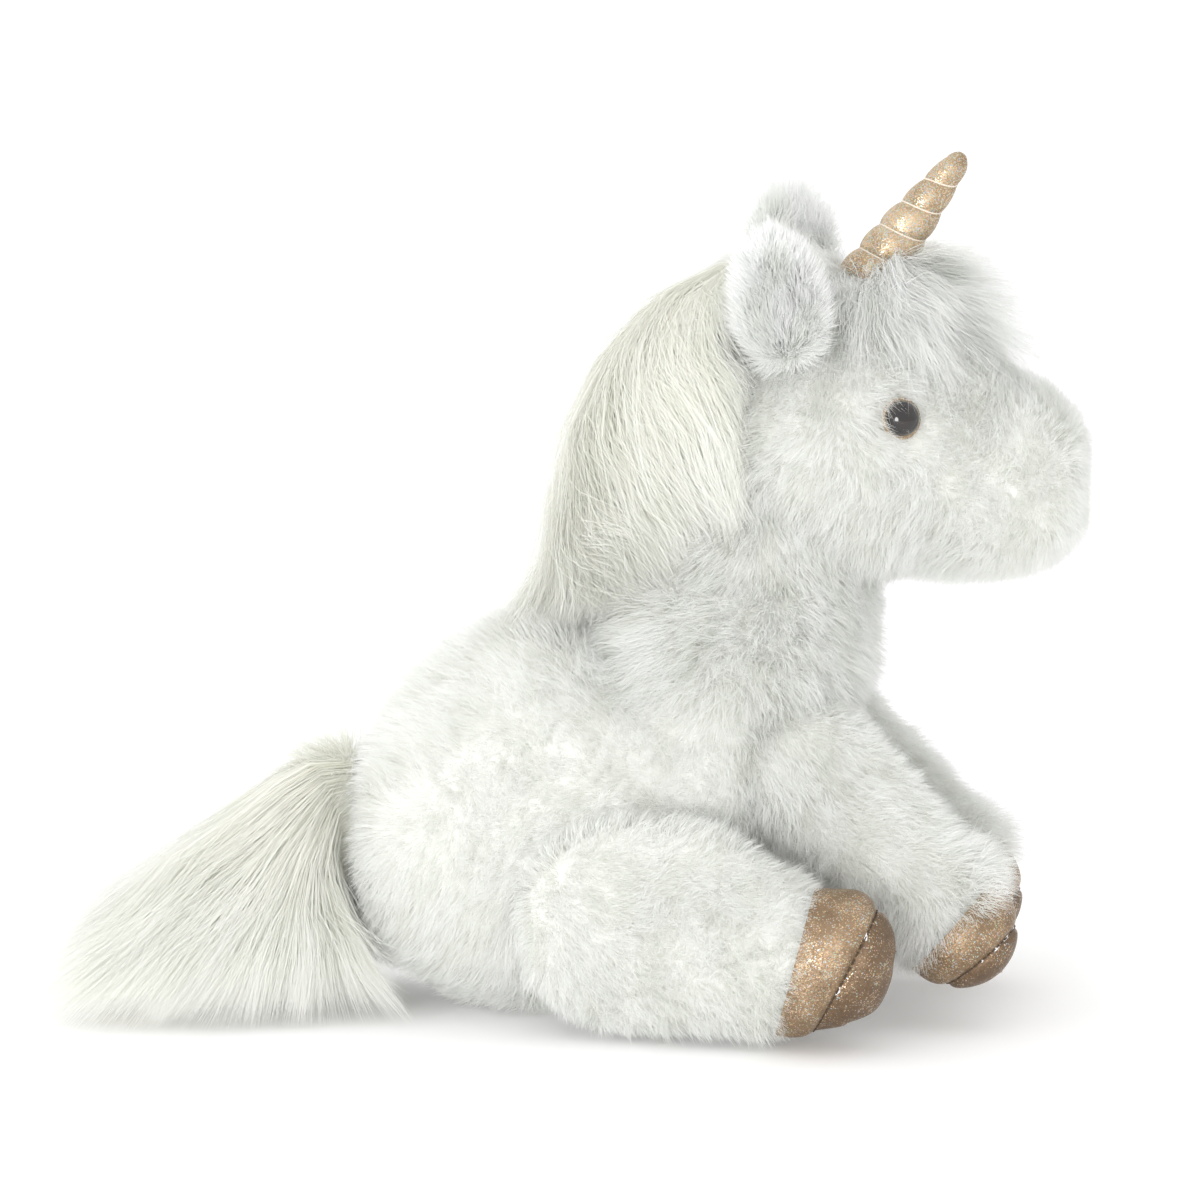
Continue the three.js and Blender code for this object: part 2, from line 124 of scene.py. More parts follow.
HIND_LEG = [
    (-12, 58, 34, 0, 0),
    (-8.5, 58, 34, 13, 7),
    (0.5, 58.5, 35, 26, 13),
    (19.5, 59.5, 36.5, 35, 16.5),
    (41.5, 61, 35.5, 34, 18),
    (59.5, 63.5, 30.5, 29, 18.5),
    (75.5, 66, 28, 25, 18.5),
    (87.5, 67, 30, 22.5, 18),
    (97.5, 67.5, 31, 19, 15.5),
    (103.5, 67.5, 31.5, 10, 8.5),
    (105.5, 67.5, 31.5, 0, 0),
]
EAR = [
    (0, 0, 0, 0, 0),
    (0, 0, 2, 7, 3.5),
    (0, 0, 10, 11.5, 5.5),
    (0, 0, 21, 12, 5.5),
    (0, 0, 31, 9.5, 4.5),
    (0, 0, 37, 5.5, 3),
    (0, 0, 40, 0, 0),
]
MANE = [
    (78, 0, 228, 0, 0),
    (74, 0, 229, 8, 12),
    (62, 0, 226, 14, 27),
    (44, 0, 212, 22, 39),
    (33, 0, 190, 29, 44),
    (27, 0, 168, 30, 44),
    (20, 0, 150, 27, 40),
    (10, 0, 136, 21, 32),
    (0, 0, 127, 12, 22),
    (-6, 0, 122, 0, 0),
]
TAIL = [
    (-68, 0, 72, 0, 0),
    (-71, 0, 68, 10, 10),
    (-79, 0, 55, 19, 19),
    (-88, -4, 40, 27, 29),
    (-100, -9, 29, 26, 35),
    (-116, -15, 21, 20, 38),
    (-132, -21, 14, 14, 37),
    (-148, -27, 8, 8, 28),
    (-160, -31, 4, 0, 0),
]
TAIL_TAB = [
    (-66, 0, 72, 0, 0),
    (-67, 0, 72, 6, 6),
    (-73, 0, 71, 7, 7),
    (-80, 0, 67, 6, 6),
    (-84, 0, 64, 0, 0),
]
# A point of the hoof's hem and the way it faces, in the side view, and the same of the sole's seam.
HEMS = {
    "foreleg": ((122.5, 30.5), (0.76, -0.65), (134, 26), (0.65, -0.76)),
    "hindleg": ((77.5, 28.5), (0.968, -0.25), (92.5, 30.5), (0.89, -0.456)),
}
TAIL_END = -177  # the farthest back that its hair reaches
EAR_ROOT = (70, 41, 213)
EAR_DEPTH = 3  # how far its root stands in the head
EAR_TALL = 38
EAR_LEAN = (0.55, 1.2)
LONGER_TIP = {"left": 4.0, "right": 0.5}  # how much longer the fur grows at the ear's tip
EYE_AT = np.array((105, 38.6, 192.5))
EYE_AIM = np.array((0.47, 0.87, 0.17))
EYE_RADIUS = 5.4
HORN_AT = np.array((92, 0, 229.4))
HORN_LEAN = math.radians(37)
BELLY_TOP = 16
GUSSET_HALF = 17
SIDES = (("left", 1), ("right", -1))


# ---- small helpers ----


def circle(count):
    """Angles evenly spread over a full turn."""
    return np.linspace(0, 2 * math.pi, count, endpoint=False)


def unit(v):
    return v / np.maximum(np.linalg.norm(v, axis=-1, keepdims=True), 1e-9)


def smooth(x, low, high):
    """Runs softly from 0 at `low` to 1 at `high`."""
    t = np.clip((x - low) / (high - low), 0, 1)
    return t * t * (3 - 2 * t)


def ripple(points, size, seed, channels=3, waves=10):
    """A smooth seeded noise, from about -1 to 1, whose features are `size` across."""
    rng = np.random.default_rng(seed)
    out = np.zeros((len(points), channels))
    for c in range(channels):
        for _ in range(waves):
            direction = unit(rng.normal(size=3)) * 2 * math.pi / (size * rng.uniform(0.7, 1.8))
            out[:, c] += np.sin(points @ direction + rng.uniform(0, 2 * math.pi))
    return out / math.sqrt(waves / 2) / 1.6


def spline(rows, at):
    """A uniform Catmull-Rom curve through the rows, and its slope, at positions from 0 to rows - 1."""
    p = np.vstack([2 * rows[0] - rows[1], rows, 2 * rows[-1] - rows[-2]])
    i = np.clip(np.floor(at).astype(int), 0, len(rows) - 2)
    t = (at - i)[:, None]
    a, b, c, d = p[i], p[i + 1], p[i + 2], p[i + 3]
    m0, m1 = (c - a) / 2, (d - b) / 2
    point = (2 * t**3 - 3 * t**2 + 1) * b + (t**3 - 2 * t**2 + t) * m0
    point += (-2 * t**3 + 3 * t**2) * c + (t**3 - t**2) * m1
    slope = (6 * t**2 - 6 * t) * b + (3 * t**2 - 4 * t + 1) * m0
    slope += (-6 * t**2 + 6 * t) * c + (3 * t**2 - 2 * t) * m1
    return point, slope


def rings_of(sections, at, inset=0.0, side=1, around=40):
    """Rings of points, one for each position along the sections, each `around` points long."""
    rows = np.array(sections, float)
    rows[:, 1] *= side
    point, slope = spline(rows, np.asarray(at, float))
    run = unit(slope[:, :3])
    up = unit(np.stack([-run[:, 2], 0 * run[:, 0], run[:, 0]], 1))
    turn = circle(around)
    tall = np.maximum(point[:, 3:4] - inset, 0.05)
    wide = np.maximum(point[:, 4:5] - inset, 0.05)
    rings = point[:, None, :3] + up[:, None] * (tall * np.sin(turn))[..., None]
    rings[..., 1] += wide * np.cos(turn)
    return rings


def skin_rings(rings, first=None, last=None):
    """Triangles over a stack of rings, closed at an end where a tip point is given."""
    count, around = rings.shape[:2]
    verts = [rings.reshape(-1, 3)]
    k = np.arange(around)
    n = (k + 1) % around
    tris = []
    for r in range(count - 1):
        a, b = r * around, (r + 1) * around
        tris += [np.stack([a + k, a + n, b + n], 1), np.stack([a + k, b + n, b + k], 1)]
    total = count * around
    if first is not None:
        verts.append(np.array([first]))
        tris.append(np.stack([0 * k + total, n, k], 1))
        total += 1
    if last is not None:
        verts.append(np.array([last]))
        tris.append(np.stack([0 * k + total, (count - 1) * around + k, (count - 1) * around + n], 1))
    return np.vstack(verts), np.vstack(tris)


def loft(sections, inset=0.0, side=1, per_span=4, around=40):
    """A closed stuffed shape through the sections, drawn in by `inset`."""
    rows = np.array(sections, float)
    rows[:, 1] *= side
    steps = np.linspace(0, len(rows) - 1, (len(rows) - 1) * per_span + 1)
    centres, slopes = spline(rows, steps)
    ends = [centres[0, :3], centres[-1, :3]]
    round_end = [rows[0, 3] == 0, rows[-1, 3] == 0]
    keep = np.minimum(centres[:, 3], centres[:, 4]) > inset + 0.8
    for end, is_round in zip(ends, round_end):
        if is_round:
            keep &= np.linalg.norm(centres[:, :3] - end, axis=1) > inset + 0.3
    rings = rings_of(sections, steps[keep], inset, side, around)
    tips = []
    for which, end in enumerate(ends):
        inward = unit(slopes[0 if which == 0 else -1, :3]) * (inset if which == 0 else -inset)
        tips.append(end + inward if round_end[which] else end)
    return skin_rings(rings, tips[0], tips[1])


def linked(name, data):
    obj = bpy.data.objects.new(name, data)
    bpy.context.scene.collection.objects.link(obj)
    return obj


def mesh_object(name, verts, tris):
    mesh = bpy.data.meshes.new(name)
    fill_mesh(mesh, verts * MM, tris.reshape(-1), np.full(len(tris), 3))
    return linked(name, mesh)


def fill_mesh(mesh, verts, loops, sizes):
    mesh.vertices.add(len(verts))
    mesh.vertices.foreach_set("co", np.ascontiguousarray(verts, np.float32).ravel())
    mesh.loops.add(len(loops))
    mesh.loops.foreach_set("vertex_index", np.ascontiguousarray(loops, np.int32))
    mesh.polygons.add(len(sizes))
    starts = np.concatenate([[0], np.cumsum(sizes)[:-1]]).astype(np.int32)
    mesh.polygons.foreach_set("loop_start", starts)
    mesh.polygons.foreach_set("use_smooth", np.ones(len(sizes), bool))
    mesh.update(calc_edges=True)


def joined(shapes):
    """The vertices and the triangles of several shapes as one list each."""
    first = np.cumsum([0] + [len(v) for v, t in shapes])
    return np.vstack([v for v, t in shapes]), np.vstack([t + b for (v, t), b in zip(shapes, first)])


def fused(shapes, voxel, passes):
    """One smooth closed skin round several overlapping shapes."""
    obj = mesh_object("fused_work", *joined(shapes))
    remesh = obj.modifiers.new("voxels", "REMESH")
    remesh.mode = "VOXEL"
    remesh.voxel_size = voxel * MM
    done = obj.evaluated_get(bpy.context.evaluated_depsgraph_get()).to_mesh()
    done.calc_loop_triangles()
    out = np.empty(len(done.vertices) * 3)
    done.vertices.foreach_get("co", out)
    out = out.reshape(-1, 3) / MM
    faces = np.empty(len(done.loop_triangles) * 3, np.int32)
    done.loop_triangles.foreach_get("vertices", faces)
    faces = faces.reshape(-1, 3)
    mesh = obj.data
    bpy.data.objects.remove(obj)
    bpy.data.meshes.remove(mesh)
    return relaxed(out, faces, passes), faces


def relaxed(verts, tris, passes):
    """Evens out a mesh without shrinking it."""
    edges = np.vstack([tris[:, [0, 1]], tris[:, [1, 2]], tris[:, [2, 0]]])
    count = np.zeros(len(verts))
    np.add.at(count, edges[:, 0], 1)
    np.add.at(count, edges[:, 1], 1)
    for step in range(passes * 2):
        total = np.zeros_like(verts)
        np.add.at(total, edges[:, 0], verts[edges[:, 1]])
        np.add.at(total, edges[:, 1], verts[edges[:, 0]])
        shift = total / count[:, None] - verts
        verts = verts + shift * (0.55 if step % 2 == 0 else -0.57)
    return verts


def normals_of(verts, tris):
    face = np.cross(verts[tris[:, 1]] - verts[tris[:, 0]], verts[tris[:, 2]] - verts[tris[:, 0]])
    out = np.zeros_like(verts)
    for corner in range(3):
        np.add.at(out, tris[:, corner], face)
    return unit(out)


def scatter(verts, tris, count, rng, chosen):
    """Random points spread evenly over the chosen triangles, with their smooth normals."""
    pool = tris[chosen]
    a, b, c = verts[pool[:, 0]], verts[pool[:, 1]], verts[pool[:, 2]]
    area = np.linalg.norm(np.cross(b - a, c - a), axis=1)
    pick = rng.choice(len(pool), count, p=area / area.sum())
    u, v = rng.random(count), rng.random(count)
    over = u + v > 1
    u[over], v[over] = 1 - u[over], 1 - v[over]
    w = 1 - u - v
    points = a[pick] * w[:, None] + b[pick] * u[:, None] + c[pick] * v[:, None]
    n = normals_of(verts, tris)
    normals = n[pool[pick, 0]] * w[:, None] + n[pool[pick, 1]] * u[:, None]
    normals += n[pool[pick, 2]] * v[:, None]
    return points, unit(normals)


# ---- pile ----

FIBRES = {  # on each piece of fabric, or each side of it
    "trunk": 60000,
    "belly": 26000,
    "neck": 22000,
    "gusset": 32000,
    "head": 56000,
    "ear_inner": 8500,
    "ear_outer": 9500,
    "leg": 34000,
    "mane": 15200,
    "crown": 2600,
    "tail": 17600,
    "tail_tab": 2500,
}
PILE_PARTS = 2  # straight parts of a short fibre
LONG_PARTS = 6  # and of a long one
STRAY = 0.27  # how far single fibres turn from the combed way
CLUMP = 0.28  # how far fibres are drawn to the middle of their tuft
TUFT = 2.6
LEAN = (0.15, 0.95)  # a fibre's tilt from its surface's normal, in radians, at the root and at the tip
WIDTH = 0.21


def nearest(points, centres):
    tree = kdtree.KDTree(len(centres))
    for i, p in enumerate(centres):
        tree.insert(p, i)
    tree.balance()
    return np.array([tree.find(p)[1] for p in points])


def short_pile(points, normals, comb, length, rng, lean):
    """Curved fibres from points on a surface: an array of fibres x (PILE_PARTS + 1) x 3."""
    flat = unit(comb - normals * np.sum(comb * normals, 1, keepdims=True))
    flow = ripple(points, 30, 11) * 0.7 + ripple(points, 8, 12) * 0.4
    flow += rng.normal(size=points.shape) * STRAY * 1.6
    flow -= normals * np.sum(flow * normals, 1, keepdims=True)
    flat = unit(flat + flow)
    tilt = ripple(points, 10, 13, 1)[:, 0] * 0.2 + rng.normal(size=len(points)) * STRAY
    length = length * (1 + 0.1 * ripple(points, 18, 14, 1)[:, 0]) * rng.uniform(0.7, 1.1, len(points))
    if callable(lean):
        lean = lean(points)
    path = [points]
    for k in range(PILE_PARTS):
        t = (k + 0.5) / PILE_PARTS
        angle = lean[0] + (lean[1] - lean[0]) * t + tilt
        step = normals * np.cos(angle)[:, None] + flat * np.sin(angle)[:, None]
        path.append(path[-1] + step * (length / PILE_PARTS)[:, None])
    path = np.stack(path, 1)
    count = max(8, int(len(points) / 20))
    heads = rng.choice(len(points), count, replace=False)
    group = heads[nearest(points, points[heads])]
    far = np.linalg.norm(points - points[group], axis=1)
    hold = CLUMP * np.clip(1.3 - far / TUFT, 0.1, 1)
    for k in range(1, PILE_PARTS + 1):
        pull = (hold * (k / PILE_PARTS) ** 1.2)[:, None]
        path[:, k] += (path[group, k] - path[:, k]) * pull
    return path


def ribbons(paths, width, rng, outward, tip=0.15, spread=0.55):
    """Turns fibres into flat tapering ribbons: vertices, face corners and sizes, and corner UVs."""
    count, levels = paths.shape[:2]
    parts = levels - 1
    run = np.empty_like(paths)
    run[:, 1:-1] = paths[:, 2:] - paths[:, :-2]
    run[:, 0] = paths[:, 1] - paths[:, 0]
    run[:, -1] = paths[:, -1] - paths[:, -2]
    run = unit(run)
    face = rng.normal(size=(count, 3)) * spread + outward
    across = unit(np.cross(run, face[:, None, :]))
    t = np.linspace(0, 1, levels)
    taper = np.clip(1.15 - t, 0, 1) ** 0.7
    taper = tip + (1 - tip) * taper
    half = (width[:, None] * taper[None] / 2)[..., None]
    left = paths - across * half
    right = paths + across * half
    verts = np.empty((count, 2 * parts + 1, 3))
    verts[:, 0 : 2 * parts : 2] = left[:, :-1]
    verts[:, 1 : 2 * parts : 2] = right[:, :-1]
    verts[:, -1] = paths[:, -1]
    base = np.arange(count)[:, None] * (2 * parts + 1)
    corners = []
    for k in range(parts - 1):
        corners += [2 * k, 2 * k + 1, 2 * k + 3, 2 * k + 2]
    corners += [2 * parts - 2, 2 * parts - 1, 2 * parts]
    loops = (base + np.array(corners)[None]).ravel()
    sizes = np.tile([4] * (parts - 1) + [3], count)
    grid = int(math.ceil(math.sqrt(count)))
    cell = np.stack([np.arange(count) % grid, np.arange(count) // grid], 1) / grid
    spot = np.empty((2 * parts + 1, 2))
    for k in range(parts):
        spot[2 * k] = (0.15, 0.1 + 0.8 * k / parts)
        spot[2 * k + 1] = (0.85, 0.1 + 0.8 * k / parts)
    spot[-1] = (0.5, 0.9)
    uv = cell[:, None] + spot[corners][None] / grid
    uv[..., 1] = 0.22 + 0.77 * uv[..., 1]
    along = np.tile(np.concatenate([np.repeat(t[:-1], 2), [1.0]]), count)
    return verts.reshape(-1, 3), loops, sizes, uv.reshape(-1, 2), along


def side_uv(verts, tris):
    """A side-view layout for a backing: its right half beside its left half, under the fibres."""
    low, high = verts.min(0), verts.max(0)
    face = np.cross(verts[tris[:, 1]] - verts[tris[:, 0]], verts[tris[:, 2]] - verts[tris[:, 0]])
    left = (face[:, 1] > 0)[:, None]
    p = verts[tris]
    u = (p[..., 0] - low[0]) / (high[0] - low[0])
    v = (p[..., 2] - low[2]) / (high[2] - low[2])
    return np.stack([u * 0.48 + 0.01 + 0.5 * left, v * 0.2 + 0.005], -1).reshape(-1, 2)


def piece(name, body, nodes, materials, backing, fibres, tint_seed):
    """One shown piece: a fabric backing, unless it is None, and the fibres that stand on it."""
    parts, base = [], 0
    rng = np.random.default_rng(tint_seed)
    if backing is not None:
        v, t = backing
        used, again = np.unique(t, return_inverse=True)
        v, t = v[used], again.reshape(-1, 3)
        base = len(v)
        even = np.tile([0.5, 0.0, 0.5, 1.0], (base, 1))
        parts.append((v, t.ravel(), np.full(len(t), 3), side_uv(v, t), np.zeros(len(t), np.int32), even))
    v, l, s, uv, along = fibres
    per = 2 * int(np.argmax(s == 3)) + 3  # points of one fibre, whose last face is its only triangle
    shade = np.repeat(rng.random(len(v) // per), per)
    mottle = ripple(v, 16, 31, 1)[:, 0] * 0.5 + 0.5
    varied = np.stack([shade, along, mottle, np.ones(len(v))], 1)
    parts.append((v, l + base, s, uv, np.full(len(s), len(materials) - 1, np.int32), varied))
    points, loops, sizes, uvs, slots, tints = (np.concatenate(rows) for rows in zip(*parts))
    points[:, 2] = np.maximum(points[:, 2], GROUND)
    mesh = bpy.data.meshes.new(name)
    fill_mesh(mesh, points * MM, loops, sizes)
    layer = mesh.uv_layers.new(name="OFBake")
    layer.data.foreach_set("uv", uvs.astype(np.float32).ravel())
    mesh.polygons.foreach_set("material_index", slots)
    tint = mesh.attributes.new("tint", "FLOAT_COLOR", "POINT")
    tint.data.foreach_set("color", tints.astype(np.float32).ravel())
    for m in materials:
        mesh.materials.append(m)
    return settle(linked(name, mesh), body, nodes)


def settle(obj, body, nodes):
    """Hangs a piece on its body; where two bodies are given, bakes its place into its mesh instead. Hides the
    CAD parts that it replaces.
    """
    if isinstance(body, tuple):
        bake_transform(obj)
    else:
        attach(obj, body)
    if nodes:
        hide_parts(*nodes)
    return obj


# ---- materials ----


class Graph:
    """A material's nodes, with short calls to add and join them."""

    def __init__(self, name):
        self.material = bpy.data.materials.new(name)
        self.material.use_nodes = True
        self.tree = self.material.node_tree
        self.tree.nodes.clear()
        self.output = self.tree.nodes.new("ShaderNodeOutputMaterial")

    def add(self, kind, inputs=(), **settings):
        node = self.tree.nodes.new(kind)
        for key, value in settings.items():
            setattr(node, key, value)
        for key, value in dict(inputs).items():
            if isinstance(value, bpy.types.NodeSocket):
                self.tree.links.new(value, node.inputs[key])
            else:
                node.inputs[key].default_value = value
        return node

    def ramp(self, factor, *stops):
        node = self.add("ShaderNodeValToRGB", {"Fac": factor})
        ramp = node.color_ramp
        while len(ramp.elements) < len(stops):
            ramp.elements.new(0.5)
        for element, (at, colour) in zip(ramp.elements, stops):
            element.position = at
            element.color = (*colour, 1)
        return node.outputs["Color"]

    def mix(self, factor, a, b, mode="MIX"):
        node = self.add("ShaderNodeMix", data_type="RGBA", blend_type=mode)
        for socket, value in ((node.inputs[0], factor), (node.inputs[6], a), (node.inputs[7], b)):
            if isinstance(value, bpy.types.NodeSocket):
                self.tree.links.new(value, socket)
            else:
                socket.default_value = value if not isinstance(value, tuple) else (*value, 1)
        return node.outputs[2]

    def place(self):
        return self.add("ShaderNodeTexCoord").outputs["Object"]

    def noise(self, place, scale, detail):
        inputs = {"Vector": place, "Scale": scale, "Detail": detail}
        return self.add("ShaderNodeTexNoise", inputs).outputs["Fac"]

    def wave(self, inputs, direction):
        return self.add("ShaderNodeTexWave", inputs, bands_direction=direction).outputs["Color"]

    def span(self, value, of=(0, 1), to=(0, 1)):
        ends = {"From Min": of[0], "From Max": of[1], "To Min": to[0], "To Max": to[1]}
        return self.add("ShaderNodeMapRange", {"Value": value, **ends}).outputs[0]

    def vector(self, operation, a, inputs=()):
        return self.add("ShaderNodeVectorMath", {0: a, **dict(inputs)}, operation=operation).outputs[0]

    def bump(self, height, strength, distance, inputs=()):
        inputs = {"Height": height, "Strength": strength, "Distance": distance, **dict(inputs)}
        return self.add("ShaderNodeBump", inputs).outputs[0]

    def surface(self, inputs):
        return self.finish(self.add("ShaderNodeBsdfPrincipled", inputs).outputs[0])

    def finish(self, shader):
        self.tree.links.new(shader, self.output.inputs["Surface"])
        return self.material


def pile_material(name, root, middle, tip, glow=0.5, rough=0.6):
    """Fibres coloured along their length, darker at the root as painted shade of the pile's depth, each a
    little differently, with light passing through them.
    """
    g = Graph(name)
    tint = g.add("ShaderNodeAttribute", attribute_name="tint")
    split = g.add("ShaderNodeSeparateColor", {"Color": tint.outputs["Color"]})
    shade, along, mottle = split.outputs[0], split.outputs[1], split.outputs[2]
    # Darker at the root than at the tip: painted shade of the pile's depth.
    length = g.ramp(along, (0.0, root), (0.45, middle), (1.0, tip))
    single = g.ramp(shade, (0.0, (0.93, 0.93, 0.925)), (0.5, (1, 1, 1)), (1.0, (0.965, 0.98, 0.985)))
    colour = g.mix(1.0, length, single, "MULTIPLY")
    patches = g.ramp(mottle, (0.2, (0.965, 0.97, 0.955)), (0.7, (1, 1, 1)))
    colour = g.mix(1.0, colour, patches, "MULTIPLY")
    look = {"Base Color": colour, "Roughness": rough, "Sheen Weight": 0.2, "Specular IOR Level": 0.15}
    body = g.add("ShaderNodeBsdfPrincipled", look)
    through = g.add("ShaderNodeBsdfTranslucent", {"Color": colour})
    both = g.add("ShaderNodeMixShader", {0: glow, 1: body.outputs[0], 2: through.outputs[0]})
    return g.finish(both.outputs[0])


def knit_material(name, low, high, scale=900.0):
    """The knitted backing that the pile stands on."""
    g = Graph(name)
    place = g.place()
    weave = g.wave({"Vector": place, "Scale": scale, "Distortion": 1.5}, "Z")
    cross = g.wave({"Vector": place, "Scale": scale * 0.8, "Distortion": 2.0}, "X")
    both = g.mix(0.5, weave, cross)
    colour = g.ramp(both, (0.2, low), (0.8, high))
    normal = g.bump(both, 0.4, 0.0004)
    return g.surface({"Base Color": colour, "Roughness": 0.9, "Normal": normal, "Sheen Weight": 0.2})


def glitter_material(name, deep, light, spark, scale=3300.0):
    """Knitted cloth with a skin of tiny many-coloured flakes."""
    g = Graph(name)
    place = g.place()
    flakes = g.add("ShaderNodeTexVoronoi", {"Vector": place, "Scale": scale}, feature="F1")
    wide = g.noise(place, 110.0, 3.0)
    ribs = g.wave({"Vector": place, "Scale": 620.0, "Distortion": 3.0, "Detail": 2.0}, "Z")
    split = g.add("ShaderNodeSeparateColor", {"Color": flakes.outputs["Color"]})
    cloth = g.ramp(wide, (0.3, deep), (0.7, light))
    ribbed = g.ramp(ribs, (0.0, (0.78, 0.76, 0.74)), (0.7, (1.05, 1.03, 1.0)))
    cloth = g.mix(0.15, cloth, ribbed, "MULTIPLY")
    hue = g.ramp(
        split.outputs[1],
        (0.0, (0.66, 0.4, 0.2)),
        (0.3, (0.72, 0.54, 0.33)),
        (0.5, (0.44, 0.62, 0.46)),
        (0.66, (0.42, 0.54, 0.7)),
        (0.8, (0.7, 0.44, 0.34)),
        (1.0, (0.78, 0.7, 0.58)),
    )
    dark = g.ramp(split.outputs[2], (0.0, (0.72, 0.69, 0.66)), (0.7, (1.08, 1.07, 1.05)))
    cloth = g.mix(0.8, cloth, dark, "MULTIPLY")
    patchy = g.span(wide, (0.3, 0.7), (spark + 0.12, spark - 0.12))
    over = g.add("ShaderNodeMath", {0: split.outputs[0], 1: patchy}, operation="SUBTRACT")
    shown = g.span(over.outputs[0], (-0.03, 0.03))
    colour = g.mix(shown, cloth, hue)
    rough, metallic = g.span(shown, to=(0.46, 0.34)), g.span(shown, to=(0.6, 0.8))
    facet = g.vector("SUBTRACT", flakes.outputs["Color"], {1: (0.5, 0.5, 0.5)})
    facet = g.vector("SCALE", facet, {"Scale": 0.42})
    straight = g.add("ShaderNodeNewGeometry").outputs["Normal"]
    tipped = g.vector("NORMALIZE", g.vector("ADD", straight, {1: facet}))
    normal = g.bump(ribs, 0.1, 0.0003, {"Normal": tipped})
    return g.surface({"Base Color": colour, "Roughness": rough, "Metallic": metallic, "Normal": normal})


def thread_material(name, low, high):
    g = Graph(name)
    twist = g.wave({"Vector": g.place(), "Scale": 1100.0, "Distortion": 1.0}, "DIAGONAL")
    colour = g.ramp(twist, (0.2, low), (0.8, high))
    return g.surface({"Base Color": colour, "Roughness": 0.6, "Normal": g.bump(twist, 0.5, 0.0002)})


def eye_material():
    g = Graph("eye_gloss")
    cloud = g.noise(g.place(), 220.0, 3.0)
    colour = g.ramp(cloud, (0.35, (0.006, 0.005, 0.005)), (0.7, (0.02, 0.013, 0.01)))
    return g.surface({"Base Color": colour, "Roughness": 0.06, "Coat Weight": 0.6, "Coat Roughness": 0.03})


def plain_material(name, low, high, rough, scale):
    g = Graph(name)
    grain = g.noise(g.place(), scale, 4.0)
    colour = g.ramp(grain, (0.3, low), (0.7, high))
    return g.surface({"Base Color": colour, "Roughness": rough, "Normal": g.bump(grain, 0.5, 0.0006)})


# Root, middle and tip colours of the pile; the darker roots are painted shade.
PURE = ((0.95, 0.95, 0.925), (0.97, 0.97, 0.955), (0.98, 0.98, 0.975))
CREAM = ((0.94, 0.935, 0.875), (0.96, 0.955, 0.91), (0.965, 0.965, 0.94))
WHITE = pile_material("white_pile", *PURE)
# The ears' pile is a lighter copy of the white pile: painted light that lifts the shade among the ears'
# fibres.
EAR_LIGHTENED_WHITE = pile_material("ear_pile_lightened", (0.97, 0.97, 0.96), (0.98, 0.98, 0.975), (0.985, 0.985, 0.98))
FORELOCK_WHITE = pile_material("forelock_pile", *PURE, glow=0.48)
IVORY = pile_material("ivory_pile", *CREAM, glow=0.48, rough=0.5)
KNIT = knit_material("white_backing", (0.86, 0.86, 0.83), (0.95, 0.95, 0.93))
IVORY_KNIT = knit_material("ivory_backing", (0.84, 0.82, 0.73), (0.94, 0.93, 0.86))
GOLD = glitter_material("gold_glitter", (0.22, 0.15, 0.09), (0.34, 0.24, 0.15), 0.86)
# The sole's gold is the band's gold made darker: painted shade for the sole, which faces down and away from
# the light.
SOLE_SHADED_GOLD = glitter_material("sole_shaded_gold_glitter", (0.15, 0.098, 0.06), (0.23, 0.155, 0.095), 0.92)
HORN_GOLD = glitter_material("horn_glitter", (0.34, 0.245, 0.155), (0.56, 0.44, 0.29), 0.62)
RING = glitter_material("ring_glitter", (0.26, 0.19, 0.12), (0.42, 0.32, 0.22), 0.8, 3600.0)
PALE_THREAD = thread_material("pale_thread", (0.72, 0.62, 0.5), (0.93, 0.86, 0.76))
DARK_THREAD = thread_material("dark_thread", (0.05, 0.03, 0.02), (0.12, 0.08, 0.05))
GLOSS = eye_material()
FILLING = plain_material("fibre_filling", (0.8, 0.8, 0.8), (0.96, 0.96, 0.96), 0.95, 350.0)
POUCH = knit_material("pouch_weave", (0.55, 0.54, 0.5), (0.8, 0.79, 0.74), 700.0)
WASHER = plain_material("moulded_washer", (0.7, 0.7, 0.68), (0.82, 0.82, 0.8), 0.45, 900.0)


# ---- trunk, neck, head ----


def away_from_eyes(points):
    """Distance of each point from the nearer eye's axis."""
    out = np.full(len(points), 1e9)
    for side in (1, -1):
        aim = unit(EYE_AIM * (1, side, 1))
        centre = EYE_AT * (1, side, 1)
        d = points - centre
        off = d - aim * (d @ aim)[:, None]
        near = np.linalg.norm(off, axis=1)
        near[np.abs(d @ aim) > 14] = 1e9
        out = np.minimum(out, near)
    return out


def way(points, direction):
    """One direction, repeated for every point."""
    return np.tile(np.array(direction, float), (len(points), 1))


def coat(
    name, body, nodes, surface, chosen, count, comb, length, seed, width=WIDTH, material=WHITE, lean=LEAN
):
    """A piece of pile fabric: the chosen part of a surface and `count` fibres, combed one way and leaning."""
    verts, tris = surface
    rng = np.random.default_rng(seed)
    points, normals = scatter(verts, tris, count, rng, chosen)
    lengths = length(points) if callable(length) else np.full(count, float(length))
    stay = lengths > 0.8
    points, normals, lengths = points[stay], normals[stay], lengths[stay]
    order = np.lexsort((points[:, 0], np.round(points[:, 2] / 4)))
    points, normals, lengths = points[order], normals[order], lengths[order]
    directions = comb(points) if callable(comb) else way(points, comb)
    paths = short_pile(points, normals, directions, lengths, rng, lean)
    strands = ribbons(paths, width * rng.uniform(0.7, 1.3, len(paths)), rng, normals)
    backing = (verts, tris[chosen])
    obj = piece(name, body, nodes, [KNIT, material], backing, strands, seed)


def trunk_comb(p):
    """Back, down and a little away from the middle."""
    out = way(p, (-0.75, 0, -0.8))
    out[:, 1] = 0.1 * np.sign(p[:, 1])
    return out


